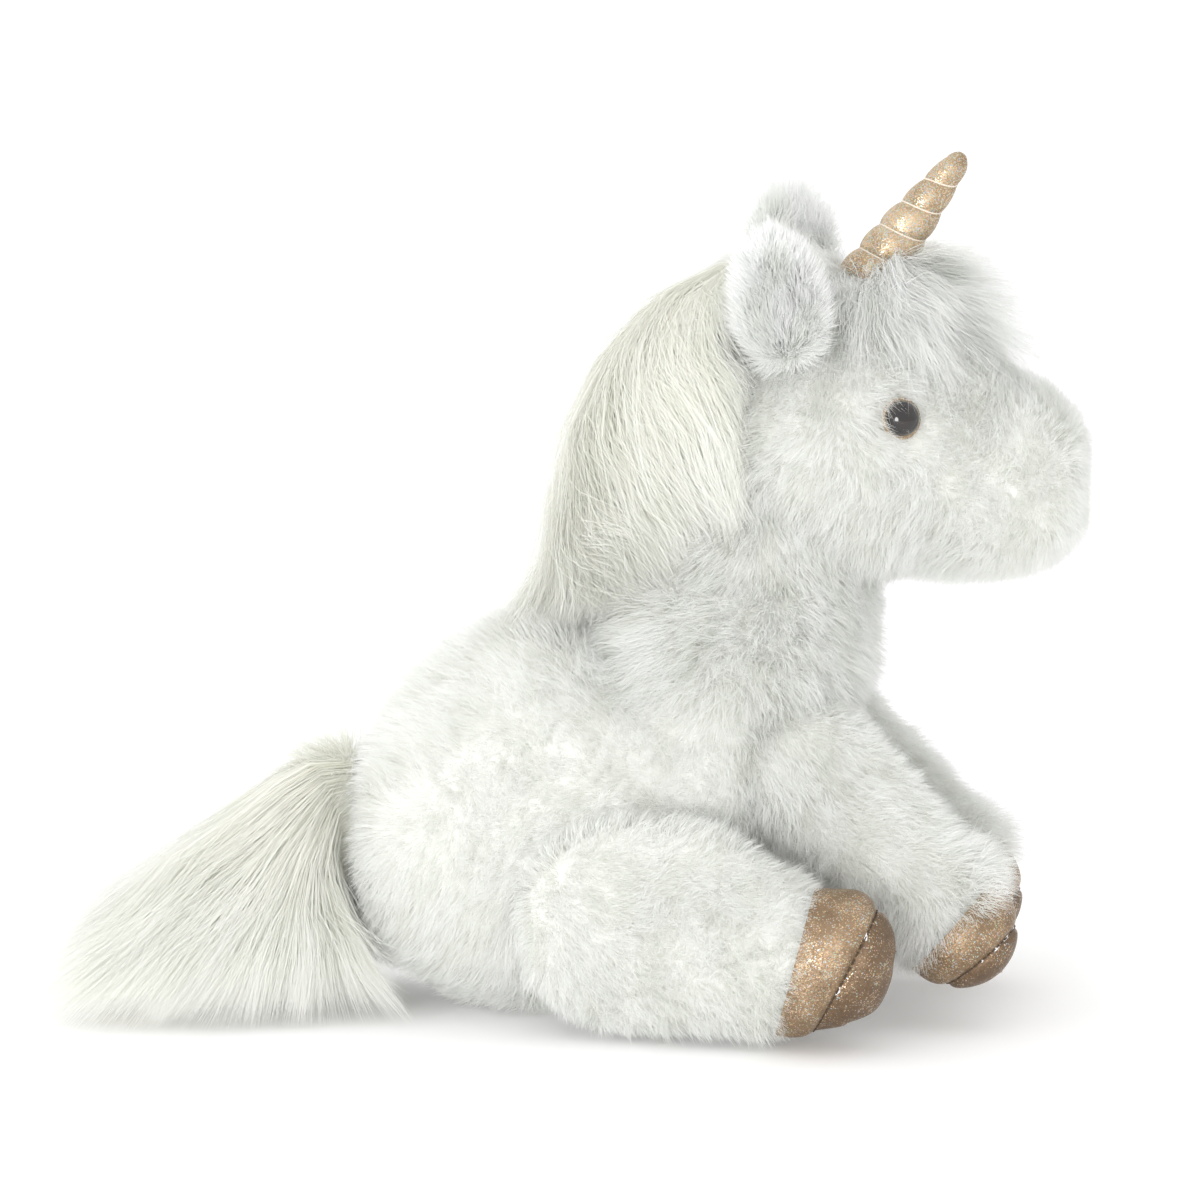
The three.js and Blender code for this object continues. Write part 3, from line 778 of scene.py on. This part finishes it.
def build_trunk():
    surface = fused([loft(TRUNK, SKIN)], 3.0, 4)
    verts, tris = surface
    verts[:, 2] = np.maximum(verts[:, 2], 1.2)
    centre = verts[tris].mean(1)
    above = centre[:, 2] > BELLY_TOP
    withers = lambda p: smooth(p[:, 0], -16, 0) * smooth(p[:, 2], 98, 110)
    length = lambda p: 9.8 - 2.0 * smooth(p[:, 2], 14, 2) + 7.0 * withers(p)
    for name, side in SIDES:
        chosen = above & (centre[:, 1] * side > 0)
        panel, count = [f"trunk_panel_{name}"], FIBRES["trunk"]
        coat(f"trunk_fur_{name}", "trunk", panel, surface, chosen, count, trunk_comb, length, 20 + side)
    low = lambda p: np.where(p[:, 2] < 3.5, 0.9, 8.0)
    panel, count = ["belly_panel"], FIBRES["belly"]
    coat("belly_fur", "trunk", panel, surface, ~above, count, (-1, 0, 0.2), low, 23, lean=(0.8, 1.3))


def build_neck():
    surface = fused([loft(NECK, SKIN - 2.5)], 3.0, 3)
    verts, tris = surface
    centre = verts[tris].mean(1)
    chosen = (centre[:, 2] > 110) & (centre[:, 2] < 137)
    length = lambda p: 14 - 5.5 * smooth(p[:, 0], 66, 88)
    panel, count = ["neck_cover"], FIBRES["neck"]
    coat("neck_fur", "neck", panel, surface, chosen, count, (-0.4, 0, -1), length, 31, lean=(0.1, 0.8))


def head_comb(p):
    back, down, onto_eye = way(p, (-1, 0, -0.35)), way(p, (-0.35, 0, -1)), way(p, (1, 0, -0.5))
    cheek = smooth(p[:, 0], 120, 80)[:, None]
    beside = smooth(away_from_eyes(p), 18, 11)[:, None]
    return (back * (1 - cheek) + down * cheek) * (1 - beside) + onto_eye * beside


def head_length(p):
    out = 9.5 - 2.6 * smooth(p[:, 0], 105, 150)
    near = away_from_eyes(p)
    behind = (EYE_AT[0] - p[:, 0]) + 0.5 * (p[:, 2] - EYE_AT[2]) > 0.5
    out = out * np.where(behind, 1 + 0.1 * smooth(near, 13, 8), 0.4 + 0.6 * smooth(near, 7.0, 16))
    out[near < np.where(behind, 5.4, 6.4)] = 0
    out += 4.0 * smooth(p[:, 0], 68, 56) * smooth(p[:, 2], 135, 150)
    horn = np.linalg.norm(p - HORN_AT, axis=1)
    out[horn < 8.2] = 0
    return out


def head_lean(p):
    beside = smooth(away_from_eyes(p), 15, 8) * (p[:, 0] < EYE_AT[0])
    return 0.15 + 0.2 * beside, 0.95 + 0.45 * beside


def build_head():
    surface = fused([loft(HEAD, SKIN), loft(NAPE, SKIN)], 3.0, 8)
    verts, tris = surface
    centre = verts[tris].mean(1)
    kept = centre[:, 2] > 119.5
    gusset = (np.abs(centre[:, 1]) < GUSSET_HALF) & (centre[:, 2] > 178 - 0.18 * (centre[:, 0] - 100)) & kept
    panel, count, style = ["head_gusset"], FIBRES["gusset"], (WIDTH, WHITE, head_lean)
    coat("head_fur_top", "head", panel, surface, gusset, count, head_comb, head_length, 41, *style)
    for name, side in SIDES:
        chosen = kept & ~gusset & (centre[:, 1] * side > 0)
        panel, count, seed = [f"head_panel_{name}"], FIBRES["head"], 42 + side
        coat(f"head_fur_{name}", "head", panel, surface, chosen, count, head_comb, head_length, seed, *style)


# ---- ears ----


def turned(verts, a, b, angle):
    """Points turned by an angle from axis number `a` towards axis number `b`."""
    out = verts.copy()
    out[:, a] = verts[:, a] * math.cos(angle) - verts[:, b] * math.sin(angle)
    out[:, b] = verts[:, a] * math.sin(angle) + verts[:, b] * math.cos(angle)
    return out


def build_ears():
    for name, side in SIDES:
        verts, tris = fused([loft(EAR, 1.2)], 1.5, 3)
        verts = verts + (0, 0, -EAR_DEPTH)
        hollow = np.sin(np.clip(verts[:, 2], 0, EAR_TALL) / EAR_TALL * math.pi) * 2.5
        verts[:, 1] -= hollow * side
        sweep, splay = math.radians(-8), math.radians(-side * 14)
        verts = turned(turned(verts, 2, 0, sweep), 1, 2, splay)
        verts += np.array(EAR_ROOT) * (1, side, 1)
        normals = normals_of(verts, tris)
        facing = normals[tris].mean(1)[:, 1] * side > 0
        tall = lambda p, extra=LONGER_TIP[name]: 10.0 + extra * smooth(p[:, 2], 230, 246)
        for face, chosen, seed in (("inner", ~facing, 51), ("outer", facing, 54)):
            fur, body, nodes = f"ear_fur_{face}_{name}", f"ear_{name}", [f"ear_{face}_{name}"]
            # The ears get the lighter pile: painted light.
            count, style = FIBRES[f"ear_{face}"], (0.24, EAR_LIGHTENED_WHITE, EAR_LEAN)
            coat(fur, body, nodes, (verts, tris), chosen, count, (-0.15, 0, 1), tall, seed + side, *style)


# ---- legs ----


def beyond(points, at, along):
    """How far points lie past a line of the side view."""
    return (points[..., 0] - at[0]) * along[0] + (points[..., 2] - at[1]) * along[1]


def build_leg(kind, name, side, seed):
    fore = kind == "foreleg"
    sections = FORE_LEG if fore else HIND_LEG
    hem, hem_along = HEMS[kind][:2]
    body = f"{kind}_{name}"
    surface = fused([loft(sections, LEG_SKIN, side)], 2.5, 3)
    verts, tris = surface
    centre = verts[tris].mean(1)
    chosen = beyond(centre, hem, hem_along) < 0.5
    comb = (0.8, 0, -0.6) if fore else (1, 0, -0.25)
    at_hem = 5.0 if fore else 4.0

    def length(p):
        to_hem = beyond(p, hem, hem_along)
        near_hem = smooth(to_hem, -8, 0)
        out = 9.0 + (at_hem - 9.0) * near_hem
        if fore:
            over = beyond(p, hem, (-hem_along[1], hem_along[0]))
            out = out + 8.0 * smooth(to_hem, -30, -4) * smooth(over, 4, 18)
        return np.where(p[:, 2] < 8, 6.0, out)

    lean = (0.25, 1.1) if fore else (0.2, 1.0)
    count = FIBRES["leg"]
    coat(f"{body}_fur", body, [f"{body}_sleeve"], surface, chosen, count, comb, length, seed, lean=lean)
    build_hoof(kind, name, side, sections)


def build_hoof(kind, name, side, sections):
    """The band and the sole of a hoof, drawn in where they meet, and the stitches between them."""
    hem, hem_along, sole, sole_along = HEMS[kind]
    body = f"{kind}_{name}"
    around, rows, stitches = 72, 26, 44
    fine = np.linspace(0, len(sections) - 1, 600)
    rings = rings_of(sections, fine, HOOF_SKIN, side, around)
    after_hem = beyond(rings, hem, hem_along)
    after_sole = beyond(rings, sole, sole_along)
    start = np.array([np.interp(-3.0, after_hem[:, k], fine) for k in range(around)])
    seam = np.array([np.interp(0.0, after_sole[:, k], fine) for k in range(around)])
    grid_band = column_grid(sections, start, seam, rows, side, around)
    grid_sole = column_grid(sections, seam, np.full(around, len(sections) - 1.02), rows, side, around)
    tip = np.array(sections[-1][:3]) * (1, side, 1) - np.array([hem_along[0], 0, hem_along[1]]) * 1.4
    pinch(grid_band, last=True)
    pinch(grid_sole, last=False)
    band = smooth_piece(f"{body}_hoof_band_cloth", *skin_rings(grid_band), GOLD)
    settle(band, body, [f"{body}_hoof_band"])
    # The sole wears the darker gold: painted shade.
    cap = smooth_piece(f"{body}_hoof_sole_cloth", *skin_rings(grid_sole, None, tip), SOLE_SHADED_GOLD)
    settle(cap, body, [f"{body}_hoof_sole"])
    line = grid_band[-1]
    outward = unit(line - line.mean(0))
    run = stitch_run(line + outward * 0.35, stitches, 0.2)
    thread = smooth_piece(f"{body}_hoof_stitches", *run, DARK_THREAD)
    settle(thread, body, [])


def column_grid(sections, first, last, rows, side, around):
    """Rings whose every column runs from its own first position to its own last one."""
    grid = []
    for r in range(rows + 1):
        at = first + (last - first) * (r / rows)
        whole = rings_of(sections, at, HOOF_SKIN, side, around)
        grid.append(whole[np.arange(around), np.arange(around)])
    return np.array(grid)


def pinch(grid, last):
    """Draws the cloth in towards the seam and lets it bulge beside it."""
    rows = len(grid)
    centre = grid.mean(1, keepdims=True)
    out = unit(grid - centre)
    for r in range(rows):
        away = (rows - 1 - r if last else r) / (rows - 1)
        draw = -1.1 * math.exp(-((away / 0.09) ** 2)) + 0.7 * math.sin(math.pi * min(away * 1.3, 1))
        grid[r] += out[r] * draw


def smooth_piece(name, verts, tris, material):
    obj = mesh_object(name, verts, tris)
    obj.data.materials.append(material)
    return obj


def tube(path, radius, sides):
    """A round cord along a path."""
    run = np.roll(path, -1, 0) - np.roll(path, 1, 0)
    run[0], run[-1] = path[1] - path[0], path[-1] - path[-2]
    run = unit(run)
    side = unit(np.cross(run, np.array([0.13, 0.27, 0.95])))
    up = np.cross(run, side)
    turn = circle(sides)
    spread = side[:, None] * np.cos(turn)[:, None] + up[:, None] * np.sin(turn)[:, None]
    rings = path[:, None] + radius * spread
    return skin_rings(rings[:, ::-1], path[0], path[-1])


def stitch_run(loop, count, radius):
    """Short stitches along a closed line."""
    closed = np.vstack([loop, loop[:1]])
    far = np.concatenate([[0], np.cumsum(np.linalg.norm(np.diff(closed, axis=0), axis=1))])
    stitches = []
    for k in range(count):
        at = np.linspace(k + 0.14, k + 0.86, 5) / count * far[-1]
        stitches.append(tube(np.stack([np.interp(at, far, closed[:, c]) for c in range(3)], 1), radius, 6))
    return joined(stitches)


# ---- eyes ----


def aimed(profile, centre, aim, around=40):
    """A turned shape from (radius, height) pairs about an axis."""
    aim = unit(aim)
    one = unit(np.cross(aim, (0, 0, 1)))
    two = np.cross(aim, one)
    turn = circle(around)
    spread = one * np.cos(turn)[:, None] + two * np.sin(turn)[:, None]
    return np.array([centre + aim * h + spread * max(r, 1e-3) for r, h in profile])


def build_eyes():
    for name, side in SIDES:
        centre, aim = EYE_AT * (1, side, 1), EYE_AIM * (1, side, 1)
        dome = [(1.8, -10), (1.8, 0), (5.1, 0), (EYE_RADIUS, 0.35), (5.42, 0.8)]
        for angle in np.radians(np.arange(6, 90, 6)):
            dome.append((EYE_RADIUS * math.cos(angle) ** 0.9, 0.8 + 4.2 * math.sin(angle)))
        rings = aimed(dome, centre, aim)
        axis = unit(aim)
        verts, tris = skin_rings(rings, centre - axis * 10, centre + axis * 5.02)
        eye = smooth_piece(f"eye_dome_{name}", verts, flipped(verts, tris, centre), GLOSS)
        settle(eye, "head", [f"eye_{name}"])
        band = [(2.2, -1.2), (6.0, -1.2), (6.4, -0.7), (6.5, -0.1)]
        band += [(6.3, 0.4), (5.9, 0.5), (5.5, 0.2), (2.2, -0.4)]
        rings = aimed(band + band[:1], centre, aim)
        ring = smooth_piece(f"eye_ring_cloth_{name}", *skin_rings(rings), RING)
        settle(ring, "head", [f"eye_ring_{name}"])


def flipped(verts, tris, centre):
    """The triangles turned to face outwards."""
    a, b, c = verts[tris[:, 0]], verts[tris[:, 1]], verts[tris[:, 2]]
    volume = np.einsum("ij,ij->i", a - centre, np.cross(b - centre, c - centre)).sum()
    return tris if volume > 0 else tris[:, ::-1]


# ---- horn ----

PITCH = 9.8  # between two turns of the thread
HORN_ROOT = -5  # heights along the horn's axis: where the cloth starts,
HORN_ROUND = 46  # where its end starts to round off,
HORN_END = 50.2  # and where it closes


def horn_seam_radius(h):
    return np.interp(h, [-4, 0, 9.3, 19, 29.5, 39, 46, 51], [8.2, 8.2, 7.7, 7.2, 5.9, 4.7, 3.7, 2.7])


def build_horn():
    axis = np.array([math.sin(HORN_LEAN), 0, math.cos(HORN_LEAN)])
    front = np.array([math.cos(HORN_LEAN), 0, -math.sin(HORN_LEAN)])
    left = np.array([0, 1, 0])
    around, rows = 96, 190
    turn = circle(around)
    rings = []
    for h in np.linspace(HORN_ROOT, HORN_END, rows):
        phase = (h / PITCH - (turn + math.pi / 2) / (2 * math.pi)) % 1.0
        lobe = np.abs(np.sin(math.pi * phase)) ** 0.6
        radius = horn_seam_radius(h) - 0.2 + 1.25 * lobe * horn_seam_radius(h) / 7
        if h > HORN_ROUND:
            radius = radius * math.sqrt(max(1 - ((h - HORN_ROUND) / 4.6) ** 2, 0.02))
        spread = front * np.cos(turn)[:, None] + left * np.sin(turn)[:, None]
        rings.append(HORN_AT + axis * h + spread * radius[:, None])
    verts, tris = skin_rings(np.array(rings)[:, ::-1], None, HORN_AT + axis * (HORN_END + 0.3))
    cover = smooth_piece("horn_cloth", verts, tris, HORN_GOLD)
    settle(cover, "horn", ["horn_cover"])
    at = np.linspace(-0.35, 4.62, 420)
    angle = at * 2 * math.pi - math.pi / 2
    height = at * PITCH
    reach = horn_seam_radius(height) - 0.1
    spread = front * np.cos(angle)[:, None] + left * np.sin(angle)[:, None]
    path = HORN_AT + axis * height[:, None] + spread * reach[:, None]
    thread = smooth_piece("horn_winding", *tube(path, 0.3, 8), PALE_THREAD)
    settle(thread, "horn", ["horn_thread"])


# ---- long pile ----

# For the long hair by the neck and by the tail's root: two bodies, and the places, in metres, where a bend
# between them would start and end.
# The hair is not bent here; its place is baked into its mesh.
MANE_BEND = ("neck", "head", (-0.006, 0, 0.116), (0.045, 0, 0.176))
TAIL_BEND = ("tail_tab", "tail", (-0.068, 0, 0.07), (-0.098, 0, 0.034))


def bezier(points, steps):
    """Cubic curves: points is count x 4 x 3."""
    t = np.linspace(0, 1, steps + 1)[None, :, None]
    a, b, c, d = (points[:, k : k + 1] for k in range(4))
    return a * (1 - t) ** 3 + 3 * b * t * (1 - t) ** 2 + 3 * c * t**2 * (1 - t) + d * t**3


def gathered(paths, rng, lock, hold):
    """Draws long fibres together into locks towards their tips."""
    middle = paths[:, paths.shape[1] // 2]
    count = max(6, int(len(paths) / lock))
    heads = rng.choice(len(paths), count, replace=False)
    group = heads[nearest(middle, middle[heads])]
    levels = paths.shape[1]
    strength = hold * rng.uniform(0.4, 1.0, len(paths))
    for k in range(1, levels):
        pull = (strength * (k / (levels - 1)) ** 1.1)[:, None]
        paths[:, k] += (paths[group, k] - paths[:, k]) * pull
    return paths


def waved(paths, rng, amount, size=20):
    """Gives long fibres waves of a size, which they share with their neighbours, and some of their own."""
    levels = paths.shape[1]
    drift = rng.normal(size=(len(paths), 3)) * amount * 0.4
    for k in range(1, levels):
        t = k / (levels - 1)
        paths[:, k] += ripple(paths[:, k], size, 61) * amount * t
        paths[:, k] += rng.normal(size=(len(paths), 3)) * amount * 0.16 * t + drift * t**2
    return paths


def long_hair(name, bend, node, base, side, paths, rng, width, middle, seed):
    """One side of the mane or the tail: fibres that face away from its middle, and the cloth under them."""
    verts, tris = base
    half = tris[verts[tris].mean(1)[:, 1] * side > 0]
    widths = width * rng.uniform(0.7, 1.3, len(paths))
    strands = ribbons(paths, widths, rng, unit(paths[:, 3] - np.array(middle)), tip=0.06, spread=0.3)
    piece(name, bend, [node], [IVORY_KNIT, IVORY], (verts, half), strands, seed)


# The mane's outline at each height: its x at the back, its half width, and the x that it turns about.
MANE_HEIGHT = [108, 116, 122, 130, 140, 150, 160, 170, 180, 190, 200, 210, 220, 228, 234, 240]
MANE_BACK = [-34, -25, -18, -12, -6, -4, -3, -1, 1.5, 5, 9, 15, 23, 33, 45, 60]
MANE_SIDE = [30, 33, 36, 39, 42, 44, 46, 47, 48, 48, 47, 44, 38, 31, 21, 8]
MANE_MIDDLE = 58


def mane_point(turn, height, depth):
    """A point of the mane's cape: `turn` round from the back, `depth` in from its surface."""
    back = MANE_MIDDLE - np.interp(height, MANE_HEIGHT, MANE_BACK) - depth
    side = np.interp(height, MANE_HEIGHT, MANE_SIDE) - depth * 0.6
    return np.stack([MANE_MIDDLE - back * np.cos(turn), side * np.sin(turn), height], -1)


def crown(side, rng):
    """Fibres that lie back from the poll, between the ears, over the top of the mane."""
    count = FIBRES["crown"]
    x = rng.uniform(56, 86, count)
    y = side * 30 * rng.random(count)
    root = np.stack([x, y, head_top(x, y) - 3], 1)
    far = rng.uniform(14, 30, count)
    end = root + np.stack([-far, side * rng.uniform(-2, 6, count), 0 * x], 1)
    top = np.interp(end[:, 0], MANE_BACK, MANE_HEIGHT) - 0.012 * y**2
    end[:, 2] = np.minimum(top, head_top(x, y) + 12) - 5 * rng.random(count)
    first = root + np.stack([-0.1 * far, 0 * x, 3 + 5 * rng.random(count)], 1)
    second = (root + end) / 2 + (0, 0, 4)
    return bezier(np.stack([root, first, second, end], 1), LONG_PARTS)


def build_mane():
    rng = np.random.default_rng(71)
    base = fused([loft(MANE, 12)], 3.0, 4)
    for name, side in SIDES:
        count = FIBRES["mane"]
        reach = np.radians(92) * rng.random(count) ** 0.85
        degrees = np.degrees(reach)
        start = rng.random(count) * (1 - smooth(degrees, 55, 90) * 0.7)
        root_height = 238 - 95 * start
        end_height = np.interp(degrees, [0, 20, 35, 50, 70, 90], [110, 113, 119, 130, 144, 160])
        ragged = rng.random(count)
        end_height = end_height + (root_height - end_height).clip(0) * 0.85 * ragged**2.2
        end_height = end_height + rng.normal(0, 5, count)
        end_height = np.minimum(end_height, root_height - 14)
        end_height = np.maximum(end_height, 109)
        loose = 9.0 * (rng.random(count) < 0.22) * rng.random(count)
        depth_root = rng.uniform(0.5, 9, count)
        depth_end = rng.uniform(-1, 8, count) + 11 * smooth(degrees, 50, 88) - loose
        edge = rng.uniform(-11, 8, count) * smooth(degrees, 20, 60)
        under = rng.random(count) < 0.3
        low_end = np.interp(degrees, [0, 20, 35, 50, 70, 90], [108, 108, 111, 118, 134, 152])
        end_height = np.where(under, low_end + 5 * ragged, end_height)
        depth_end = depth_end + np.where(under, 3.0, 0.0)
        bend = 0.75 - 0.4 * smooth(degrees, 40, 90)
        paths = []
        for k in range(LONG_PARTS + 1):
            t = k / LONG_PARTS
            height = root_height + (end_height - root_height) * t**1.2
            turn = (reach * (0.04 + 0.96 * t**bend) + np.radians(edge) * t) * side
            left = (1 - t) ** 1.5
            depth = depth_root * left + depth_end * (1 - left) - 2.5 * math.sin(math.pi * t)
            depth += np.where(under, 0, 6) * t**3 * smooth(degrees, 20, 45)
            paths.append(mane_point(turn, height, depth))
        paths = np.concatenate([np.stack(paths, 1), crown(side, rng)])
        paths = gathered(waved(paths, rng, 3.0), rng, 14, 0.14)
        middle = (MANE_MIDDLE, 0, 175)
        long_hair(f"mane_hair_{name}", MANE_BEND, "mane", base, side, paths, rng, 0.24, middle, 72)


def head_top(x, y):
    """Height of the head's crown at a place seen from above."""
    rows = np.array(HEAD, float)
    centre = np.interp(x, rows[:, 0], rows[:, 2])
    tall = np.interp(x, rows[:, 0], rows[:, 3])
    wide = np.interp(x, rows[:, 0], rows[:, 4])
    return centre + tall * np.sqrt(np.clip(1 - (y / wide) ** 2, 0.03, 1))


def build_forelock():
    rng = np.random.default_rng(81)
    locks, each = 165, 125
    count = locks * each
    heading = np.radians(np.linspace(-150, 150, locks) + rng.normal(0, 9, locks))
    heading = heading * (0.55 + 0.45 * np.abs(heading) / math.radians(150))
    layer = rng.random(locks)
    ahead = np.clip(np.cos(heading), 0, 1)
    reach = (39 + 19 * ahead) * rng.uniform(0.66, 1.08, locks)
    tip = np.stack([92 + reach * np.cos(heading), reach * 0.98 * np.sin(heading), 0 * heading], 1)
    tip[:, 1] = np.clip(tip[:, 1], -43, 43)
    tip[:, 2] = head_top(tip[:, 0], tip[:, 1]) + 1 + (8 + 31 * ahead) * layer
    tip[:, 2] = np.maximum(tip[:, 2], 199)
    root = np.stack([91 + 8 * np.cos(heading), 8 * np.sin(heading), 0 * heading + 227], 1)
    own = np.repeat(np.arange(locks), each)
    roots = root[own] + rng.normal(0, 2.6, (count, 3)) * (1, 1, 0.3)
    ends = tip[own] + rng.normal(0, 1, (count, 3)) * (6.0, 6.0, 5.5)
    along = rng.uniform(0.45, 1.12, count)[:, None]
    ends = roots + (ends - roots) * along
    rise = (2 + (4 + 8 * layer[own]) * ahead[own])[:, None]
    first = roots + (ends - roots) * 0.12 + rise * np.array([0, 0, 1.0])
    middle = roots + (ends - roots) * 0.55
    lift = 4 + (5 + 17 * ahead[own]) * layer[own]
    middle[:, 2] = np.maximum(head_top(middle[:, 0], middle[:, 1]) + lift, middle[:, 2])
    paths = bezier(np.stack([roots, first, middle, ends], 1), 5)
    paths = waved(paths, rng, 3.4, 13)
    paths = gathered(paths, rng, 24, 0.15)
    out = unit(paths[:, 3] - np.array([95, 0, 190]))
    strands = ribbons(paths, 0.23 * rng.uniform(0.7, 1.3, count), rng, out, tip=0.05, spread=0.35)
    piece("forelock_hair", "head", ["forelock"], [FORELOCK_WHITE], None, strands, 82)


def build_tail():
    rng = np.random.default_rng(91)
    base = fused([loft(TAIL, 6)], 3.0, 4)
    base[0][:, 2] = np.maximum(base[0][:, 2], 1.0)
    for name, side in SIDES:
        count = FIBRES["tail"]
        fan = rng.random(count) ** 1.05
        across = rng.random(count) ** 0.9 * side
        root = np.stack([-67 - 5 * rng.random(count), 11 * across, 60 + 18 * rng.random(count)], 1)
        root[:, 2] -= 14 * fan
        far = np.interp(fan, [0, 0.25, 0.5, 0.75, 1], [-172, -157, -128, -92, -60])
        far = -60 + (far + 60) * (1 - 0.4 * rng.random(count) ** 2.4)
        width = np.interp(fan, [0, 0.4, 1], [27, 43, 42])
        drift = np.interp(fan, [0, 1], [-32, -6])
        lift = 26 * rng.random(count) ** 4
        end = np.stack([far, drift + across * width, 1.5 + lift], 1)
        wrap = smooth(fan, 0.8, 1.0) * smooth(np.abs(end[:, 1]), 22, 38)
        end[:, 0] += wrap * 14
        first = root + np.stack([-9 - 9 * (1 - fan), across * 7, 7 * (1 - fan) - 2], 1)
        mid_x = np.interp(fan, [0, 0.5, 1], [-114, -90, -69])
        mid_z = np.interp(fan, [0, 0.5, 1], [56, 43, 28]) + rng.normal(0, 3, count)
        second = np.stack([mid_x, drift * 0.55 + across * width * 0.85, mid_z], 1)
        paths = bezier(np.stack([root, first, second, end], 1), LONG_PARTS)
        paths = gathered(waved(paths, rng, 2.8), rng, 14, 0.1)
        paths[:, 1:, 2] = np.maximum(paths[:, 1:, 2], GROUND + 0.5)
        paths[:, :, 0] = np.maximum(paths[:, :, 0], TAIL_END)
        long_hair(f"tail_hair_{name}", TAIL_BEND, "tail", base, side, paths, rng, 0.27, (-95, 0, 10), 92)
    tab = fused([loft(TAIL_TAB, 0.5)], 1.5, 2)
    whole = np.ones(len(tab[1]), bool)
    count = FIBRES["tail_tab"]
    coat("tail_root_fur", "tail_tab", ["tail_tab"], tab, whole, count, (-1, 0, -0.5), 14.0, 95, 0.3, IVORY)


# ---- what stays inside ----


def dress_inside():
    """Gives the hidden CAD pieces, which are shown as they are, their materials."""
    for name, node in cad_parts.items():
        for part, material in (("stuffing", FILLING), ("pellet_pouch", POUCH), ("eye_washer", WASHER)):
            if part in name:
                node.data.materials.clear()
                node.data.materials.append(material)


# ---- studio ----


def build_studio():
    bpy.ops.mesh.primitive_plane_add(size=6, location=(0, 0, 0))
    floor = bpy.context.object
    floor.name = "floor"
    g = Graph("floor_white")
    cloud = g.noise(g.place(), 3.0, 2.0)
    colour = g.ramp(cloud, (0.3, (0.93, 0.93, 0.93)), (0.7, (0.95, 0.95, 0.95)))
    lit = {"Base Color": colour, "Roughness": 0.9, "Emission Color": (1, 1, 1, 1), "Emission Strength": 0.1}
    floor.data.materials.append(g.surface(lit))
    floor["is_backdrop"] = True
    bpy.context.scene.world = studio_light()
    lamp("key", (-0.6, -2.2, 0.3), 1.1, 32.0)
    bpy.context.scene.view_settings.view_transform = "Standard"


def studio_light():
    """A white room that is a little brighter above the toy, on its tail's side and on its left."""
    world = bpy.data.worlds.new("studio")
    world.use_nodes = True
    nodes, links = world.node_tree.nodes, world.node_tree.links
    place = nodes.new("ShaderNodeTexCoord")
    aim = nodes.new("ShaderNodeVectorMath")
    aim.operation = "DOT_PRODUCT"
    aim.inputs[1].default_value = (-0.6, 0.3, 0.45)
    links.new(place.outputs["Generated"], aim.inputs[0])
    spread = nodes.new("ShaderNodeMapRange")
    for key, value in (("From Min", -1.0), ("From Max", 1.0), ("To Min", 0.96), ("To Max", 1.17)):
        spread.inputs[key].default_value = value
    links.new(aim.outputs["Value"], spread.inputs["Value"])
    links.new(spread.outputs["Result"], nodes["Background"].inputs["Strength"])
    nodes["Background"].inputs["Color"].default_value = (1, 1, 1, 1)
    return world


def lamp(name, at, size, power):
    data = bpy.data.lights.new(name, "AREA")
    data.shape = "DISK"
    data.size = size
    data.energy = power
    obj = linked(name, data)
    obj.location = at
    obj.rotation_euler = (Vector((0.02, 0, 0.12)) - Vector(at)).to_track_quat("-Z", "Y").to_euler()


def build_camera():
    azimuth, elevation, distance = math.radians(4), math.radians(10), 2.9
    target = Vector((0.0095, 0, 0.128))
    flat = math.cos(elevation)
    back = Vector((math.sin(azimuth) * flat, -math.cos(azimuth) * flat, math.sin(elevation)))
    data = bpy.data.cameras.new("camera")
    data.lens = 278
    obj = linked("camera", data)
    obj.location = target + back * distance
    obj.rotation_euler = (-back).to_track_quat("-Z", "Y").to_euler()
    bpy.context.scene.camera = obj


build_trunk()
build_neck()
build_head()
build_ears()
seed = 100
for kind in ("foreleg", "hindleg"):
    for name, side in SIDES:
        build_leg(kind, name, side, seed)
        seed += 1
build_eyes()
build_horn()
build_mane()
build_forelock()
build_tail()
dress_inside()
build_studio()
build_camera()

low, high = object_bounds()
{"cad": [list(c) for c in CAD_BOX], "visual": [list(low), list(high)]}
